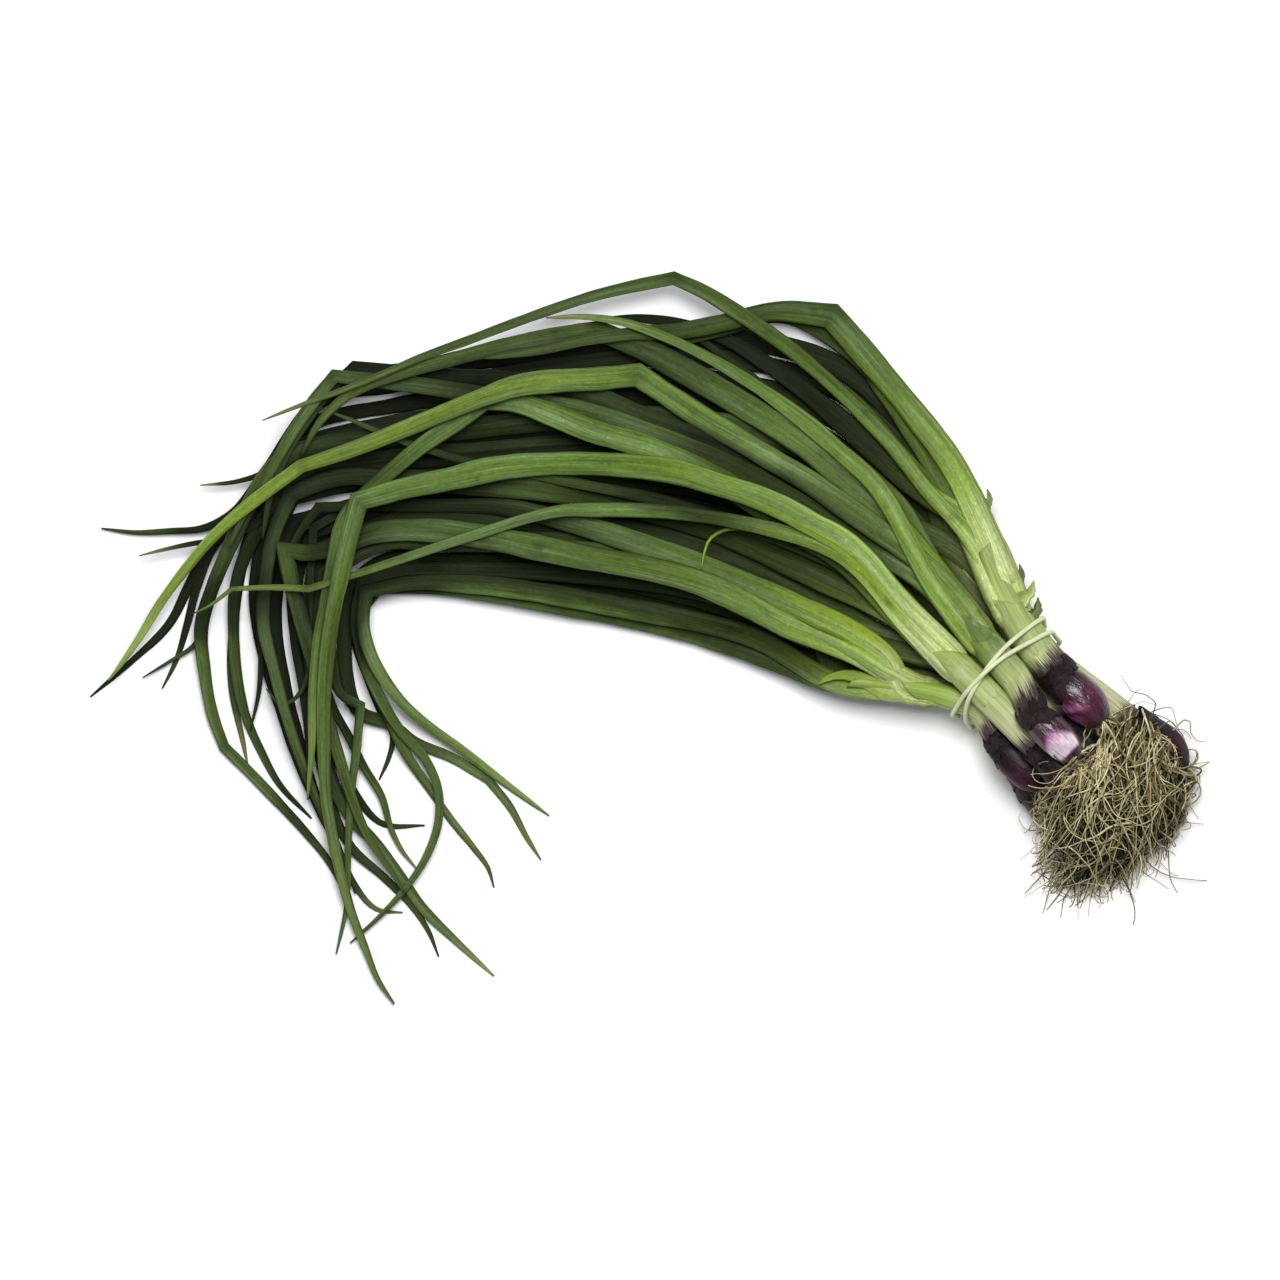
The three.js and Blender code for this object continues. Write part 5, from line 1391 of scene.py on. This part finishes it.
def growRoots(look):  # every root of every onion at once, a step at a time
    rng = np.random.default_rng(look["seed"])
    count = look["eachOnion"]
    starts, ways = [], []
    for onion in onions:
        manner = look["droop" if onion["bulb"]["up"] > look["droopAbove"] else "upright"]
        end = onion["bulb"]["along"] + pile["bulbLength"] * manner["end"]
        across, up = axisAt(onion, end)
        angle = rng.random(count) * 2 * math.pi
        out = look["plate"] * np.sqrt(rng.random(count))
        x, y = place(end - look["inset"], across + out * np.cos(angle))
        starts.append(np.stack([x, y, up + out * np.sin(angle)], axis=-1))
        byPlace, byChance = look["spread"]
        spread = (byPlace * out / look["plate"] + byChance * rng.random(count)) * manner["spread"]
        onward = np.array([direction[0] * manner["onward"], direction[1] * manner["onward"], -manner["down"]])
        ways.append(onward + (spread * np.cos(angle))[:, None] * np.array([*sideways, 0])
                    + (spread * np.sin(angle))[:, None] * np.array([0, 0, 1]))
    p, way = np.concatenate(starts), np.concatenate(ways)
    keep, fresh = look["swing"]
    sink, mostSink = look["sink"]
    swing = rng.normal(size=p.shape)
    floor = rootLook["radius"] + rootLook["lift"]
    path = [p.copy()]
    for step in range(look["steps"]):
        swing = keep * swing + fresh * rng.normal(size=p.shape)
        way = way + look["wander"] * swing
        if step > look["straight"]:
            way += np.array(look["sweep"])
        share = matShare(p[:, 0], p[:, 1])
        top = rootLook["top"] * np.sqrt(np.clip(look["domeEdge"] - share**2, 0.02, 1))
        inward = unit(np.array([*rootLook["middle"], look["aimUp"]]) - p)
        way += inward * turnBack(p, share, look["turnBack"])
        way[:, 2] -= np.clip((p[:, 2] - top) * sink, 0, mostSink)
        way = unit(way)
        p = p + way * look["step"] * (look["inset"] if step == 0 else 1)
        p[:, 2] = np.maximum(floor, p[:, 2])
        p = clearOfBulbs(p, look["offBulbs"])
        p[:, 2] = np.maximum(floor, p[:, 2])
        path.append(p.copy())
    return np.stack(path, axis=1), rng


def growMat(look):  # all strands at once, a step at a time
    rng = np.random.default_rng(look["seed"])
    total = look["strands"]
    rim = np.array(matRim)
    middle = np.array(rootLook["middle"])
    pick = rng.integers(0, len(rim), total)
    near = rim[pick] + rng.normal(size=(total, 2)) * look["rimSpread"]
    spot = middle + (near - middle) * (rng.random((total, 1)) ** look["towardsRim"])
    angle = look["facing"] + look["spread"] * rng.normal(size=total)
    angle += look["fan"] * (spot[:, 0] - middle[0])
    way = np.stack([np.cos(angle), np.sin(angle)], axis=-1)
    spot = spot - way * look["step"] * look["steps"][0] * look["startBack"]
    share = rimShare(spot)
    most, deeper = look["rimShare"]
    inside = np.where(share > most, (most - deeper * rng.random(total)) / share, 1)
    spot = middle + (spot - middle) * inside[:, None]
    layer = rng.random(total) ** look["layers"]
    lift = look["low"] + (1 - look["low"]) * layer
    keep, fresh = look["swing"]
    endFrom, endSlope, endShare = look["ends"]
    swing = rng.normal(size=(total, 2))
    path = []
    for _ in range(look["steps"][1]):
        share = rimShare(spot)
        lowest, others = (overBulbs(*spot.T, some)
                          for some in (onions[:look["lowBulbs"]], onions[look["lowBulbs"]:]))
        over = np.where(layer > look["overFrom"], np.maximum(lowest, others), lowest)
        over = np.where(share < 1.0, over + look["overBulbs"] * (1 + 2 * layer), 0)
        z = np.maximum(np.maximum(look["lowest"], domeAt(share) * lift), over)
        path.append(np.column_stack([spot, z]))
        swing = keep * swing + fresh * rng.normal(size=(total, 2))
        way = way + look["wander"] * swing + np.array(look["flow"])
        way = unit(way + unit(middle - spot) * turnBack(spot, share, look["turnBack"]))
        gone = np.clip((share - endFrom) * endSlope, 0, 1)
        spot = spot + way * look["step"] * (1 - endShare * gone)[:, None]
    paths = np.stack(path, axis=1)
    for step in range(1, paths.shape[1]):
        drop = paths[:, step - 1, 2] - paths[:, step, 2]
        paths[:, step, 2] += np.clip(drop - look["steepest"], 0, None)
    paths[..., 2] = np.maximum(rootLook["radius"] + rootLook["lift"], paths[..., 2])
    return paths, rng


def growWisps(look, rng):
    wisps = []
    (startX, startY), (dip, dipAt, dipRange) = look["from"], look["dip"]
    least, more, shorter = look["length"]
    high, higher, low = look["heights"]
    count = look["points"]
    for _ in range(look["count"]):
        foot = rng.random()
        start = np.array([startX + look["along"] * foot,
                          startY + dip * abs(foot - dipAt) + dipRange * rng.random()])
        angle = math.radians(look["facing"] + look["spread"] * rng.normal())
        length = (least + more * rng.random()) * (1 - shorter * foot)
        angle = angle + look["bend"] * np.cumsum(rng.normal(size=count))
        steps = length / (count - 1) * np.stack([np.cos(angle), np.sin(angle)], axis=-1)
        z = np.linspace(high + higher * rng.random(), low, count)
        wisps.append(np.column_stack([start + np.cumsum(steps, axis=0), z]))
    return wisps


def addStrands(maker, paths, rng, shortest):
    theta = around(rootLook["sides"])
    thin, thicker = rootLook["radiusRange"]
    under, over = rootLook["deepOver"]
    for path in paths:
        keep = int(len(path) * (shortest + (1 - shortest) * rng.random()))
        path = path[:max(rootLook["leastRings"], keep)]
        way = unit(np.gradient(path, axis=0))
        side = unit(np.cross(way, [0.3, 0.2, 1.0]))
        radius = rootLook["radius"] * (thin + thicker * rng.random())
        radius = radius * np.linspace(1, rootLook["taper"], len(path))[:, None, None]
        rings = ringsAlong(path, radius, theta, side, np.cross(side, way))
        rings[..., 2] = np.maximum(0.05, rings[..., 2])
        pick = rng.random() ** rootLook["darkness"] * (len(rootLook["colours"]) - 1)
        tint = blendStops(list(enumerate(rootLook["colours"])), pick)
        # Painted shade: strands that lie deep under the mat's dome are darker.
        deep = easeIn((domeAt(rimShare(path)) - path[:, 2] - under) / over)
        low = 1 - (1 - rootLook["deepShade"]) * deep
        arc = np.arange(len(path)) * rootGrowth["step"]
        maker.addTube(rings, tint[None, None] * low[:, None, None], grain(1, theta, arc[:, None], rng))


def addHeart(maker):
    down = np.linspace(0.02, math.pi - 0.02, heart["rows"])[:, None]
    theta = around(heart["sides"])[None]
    ball = np.stack(np.broadcast_arrays(np.sin(down) * np.cos(theta), np.sin(down) * np.sin(theta),
                                        np.cos(down)), axis=-1)
    lumps = 1 + heart["lumps"] * np.sin(7 * ball[..., 0] + 2) * np.sin(6 * ball[..., 1] + 5 * ball[..., 2])
    rings = ball * lumps[..., None] * np.array(heart["size"]) + np.array(heart["middle"])
    rings[..., 2] = np.maximum(0.1, rings[..., 2])
    maker.addTube(rings, heart["colour"], ball * heart["grain"])


matMaker = MeshMaker()
addHeart(matMaker)
rootPaths, rootDraw = growRoots(rootGrowth)
addStrands(matMaker, rootPaths, rootDraw, rootGrowth["shortest"])
matPaths, matDraw = growMat(matGrowth)
addStrands(matMaker, matPaths, matDraw, matGrowth["steps"][0] / matGrowth["steps"][1])
addStrands(matMaker, growWisps(wispGrowth, matDraw), matDraw, 1.0)
for stray in strays:
    addStrands(matMaker, [routeThrough(stray, 4 * len(stray))[0][::-1]], matDraw, 1.0)
mat = matMaker.finish("rootTangle", [tintedMaterial("dry root", rootSkin)["material"]])
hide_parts("root_tangle")
print("made the roots")

bandLook = {
    "radius": 0.85,
    "along": -1.2,
    "tilt": 6.5,
    "lowTilt": -0.3,
    "slant": 4.4,
    "steps": 320,
    "sides": 12,
    "centre": (0, 18),
    "corners": 36,  # of each stem's outline under the band
    "slantShare": 1.08,
    "crossAt": 1.85,
    "hop": (0.32, 0.1),  # how long and how clear one turn passes over the other
    "bite": 0.2,  # how deep the band presses in
    "grainStep": 0.8,
    "colour": paint(214, 220, 178),
}

bandSkin = {
    "roughness": 0.5,
    "noises": {"bits": ((0.7, 0.7, 0.2), 3, 0.6)},
    "layers": [("bits", 0.3, 0.7, 0.88, 1.08)],
    "bumps": [("bits", 0.0002, 0.3)],
}


def hullHalf(points):
    hull = []
    for p in points:
        while len(hull) > 1:
            a, b = hull[-2:]
            if (b[0] - a[0]) * (p[1] - a[1]) - (b[1] - a[1]) * (p[0] - a[0]) > 0:
                break
            hull.pop()
        hull.append(p)
    return hull[:-1]


def bandOutline(along):  # the band is a string pulled tight round the stems
    points = []
    for stem in stems.values():
        across, up, radius = (float(np.interp(-along, -stem["along"], stem[k]))
                              for k in ("across", "z", "half"))
        radius = radius + bandLook["radius"] + pile["gap"]
        for angle in around(bandLook["corners"]).tolist():
            points.append((across + math.cos(angle) * radius * bandLook["slantShare"],
                           up + math.sin(angle) * radius))
    points.sort()
    return hullHalf(points) + hullHalf(points[::-1])


def outlineReach(outline, angle):  # how far the outline is from the band's centre, at an angle
    centre = bandLook["centre"]
    d = (math.cos(angle), math.sin(angle))
    reach = 0
    for p, q in zip(outline, outline[1:] + outline[:1]):
        e = (q[0] - p[0], q[1] - p[1])
        det = d[0] * -e[1] + e[0] * d[1]
        if abs(det) < 1e-9:
            continue
        r = (p[0] - centre[0], p[1] - centre[1])
        t = (r[0] * -e[1] + e[0] * r[1]) / det
        s = (d[0] * r[1] - d[1] * r[0]) / det
        if t > 0 and -1e-9 <= s <= 1 + 1e-9:
            reach = max(reach, t)
    return reach


def makeBand(material):
    steps, centre = bandLook["steps"], bandLook["centre"]
    hopLength, hopClear = bandLook["hop"]
    line = []
    for i in range(steps):
        turn = i / steps * 4 * math.pi
        angle = bandLook["crossAt"] + turn
        along = (bandLook["along"] - bandLook["tilt"] * max(bandLook["lowTilt"], math.sin(angle))
                 + bandLook["slant"] * math.sin(turn / 2))
        hop = (2 * bandLook["radius"] + hopClear) * math.exp(-(((turn - 2 * math.pi) / hopLength) ** 2))
        reach = outlineReach(bandOutline(along), angle) + hop - bandLook["bite"]
        x, y = place(along, centre[0] + math.cos(angle) * reach)
        line.append((x, y, centre[1] + math.sin(angle) * reach))
    line = np.array(line)
    for _ in range(2):
        line = (np.roll(line, 1, axis=0) + 2 * line + np.roll(line, -1, axis=0)) / 4
    way = unit(np.roll(line, -1, axis=0) - np.roll(line, 1, axis=0))
    out = line - np.array([*place(0, centre[0]), centre[1]])
    out = unit(out - (out * way).sum(axis=1)[:, None] * way)
    theta = around(bandLook["sides"])
    rings = ringsAlong(line, bandLook["radius"], theta, out, np.cross(way, out))
    maker = MeshMaker()
    fibre = grain(1, theta, np.arange(steps)[:, None] * bandLook["grainStep"])
    maker.addTube(rings, bandLook["colour"], fibre, closed=True)
    piece = maker.finish("rubberBand", [material])
    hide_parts("rubber_band")


makeBand(tintedMaterial("pale rubber", bandSkin)["material"])
print("made the band")

stageLook = {
    "floorSize": 6.0,
    "floorColour": paint(252, 252, 252),
    "floorRoughness": 0.7,
    "sensor": 36,
    "cameraHeight": 4.0,
    "cameraPlace": (-0.0005, -0.0009),
    "frameWidth": 0.4608,  # of the picture, at the height of the leaves
    "frameLevel": 0.02,
    "key": dict(place=(0.1, 0.55, 2.0), size=0.9, power=45),
    "fill": dict(place=(-1.1, -0.5, 1.6), size=1.2, power=3),
    "skyColour": (0.95, 0.97, 1.0),
    "skyStrength": 0.2,
}


def makeStage():
    size = stageLook["floorSize"] / 2
    corners = [(-size, -size, 0), (size, -size, 0), (size, size, 0), (-size, size, 0)]
    mesh = bpy.data.meshes.new("floor")
    mesh.from_pydata(corners, [], [(0, 1, 2, 3)])
    floor = bpy.data.objects.new("floor", mesh)
    bpy.context.collection.objects.link(floor)
    material, shader = newMaterial("pale table", stageLook["floorRoughness"])
    shader.inputs["Base Color"].default_value = (*stageLook["floorColour"], 1)
    mesh.materials.append(material)


def addLight(name):
    look = stageLook[name]
    light = bpy.data.lights.new(name, "AREA")
    light.size = look["size"]
    light.energy = look["power"]
    lamp = bpy.data.objects.new(name, light)
    lamp.location = look["place"]
    lamp.rotation_euler = (-Vector(look["place"])).to_track_quat("-Z", "Y").to_euler()
    bpy.context.collection.objects.link(lamp)


def makeSky():
    world = bpy.data.worlds.new("soft sky")
    world.use_nodes = True
    background = world.node_tree.nodes["Background"]
    background.inputs["Strength"].default_value = stageLook["skyStrength"]
    background.inputs["Color"].default_value = (*stageLook["skyColour"], 1)
    bpy.context.scene.world = world
    bpy.context.scene.view_settings.view_transform = "Standard"


def makeCamera():
    data = bpy.data.cameras.new("camera")
    data.sensor_width = stageLook["sensor"]
    away = stageLook["cameraHeight"] - stageLook["frameLevel"]
    data.lens = stageLook["sensor"] * away / stageLook["frameWidth"]
    camera = bpy.data.objects.new("camera", data)
    camera.location = (*stageLook["cameraPlace"], stageLook["cameraHeight"])
    bpy.context.collection.objects.link(camera)
    bpy.context.scene.camera = camera


makeStage()
addLight("key")
addLight("fill")
makeSky()
makeCamera()

print("made the stage")
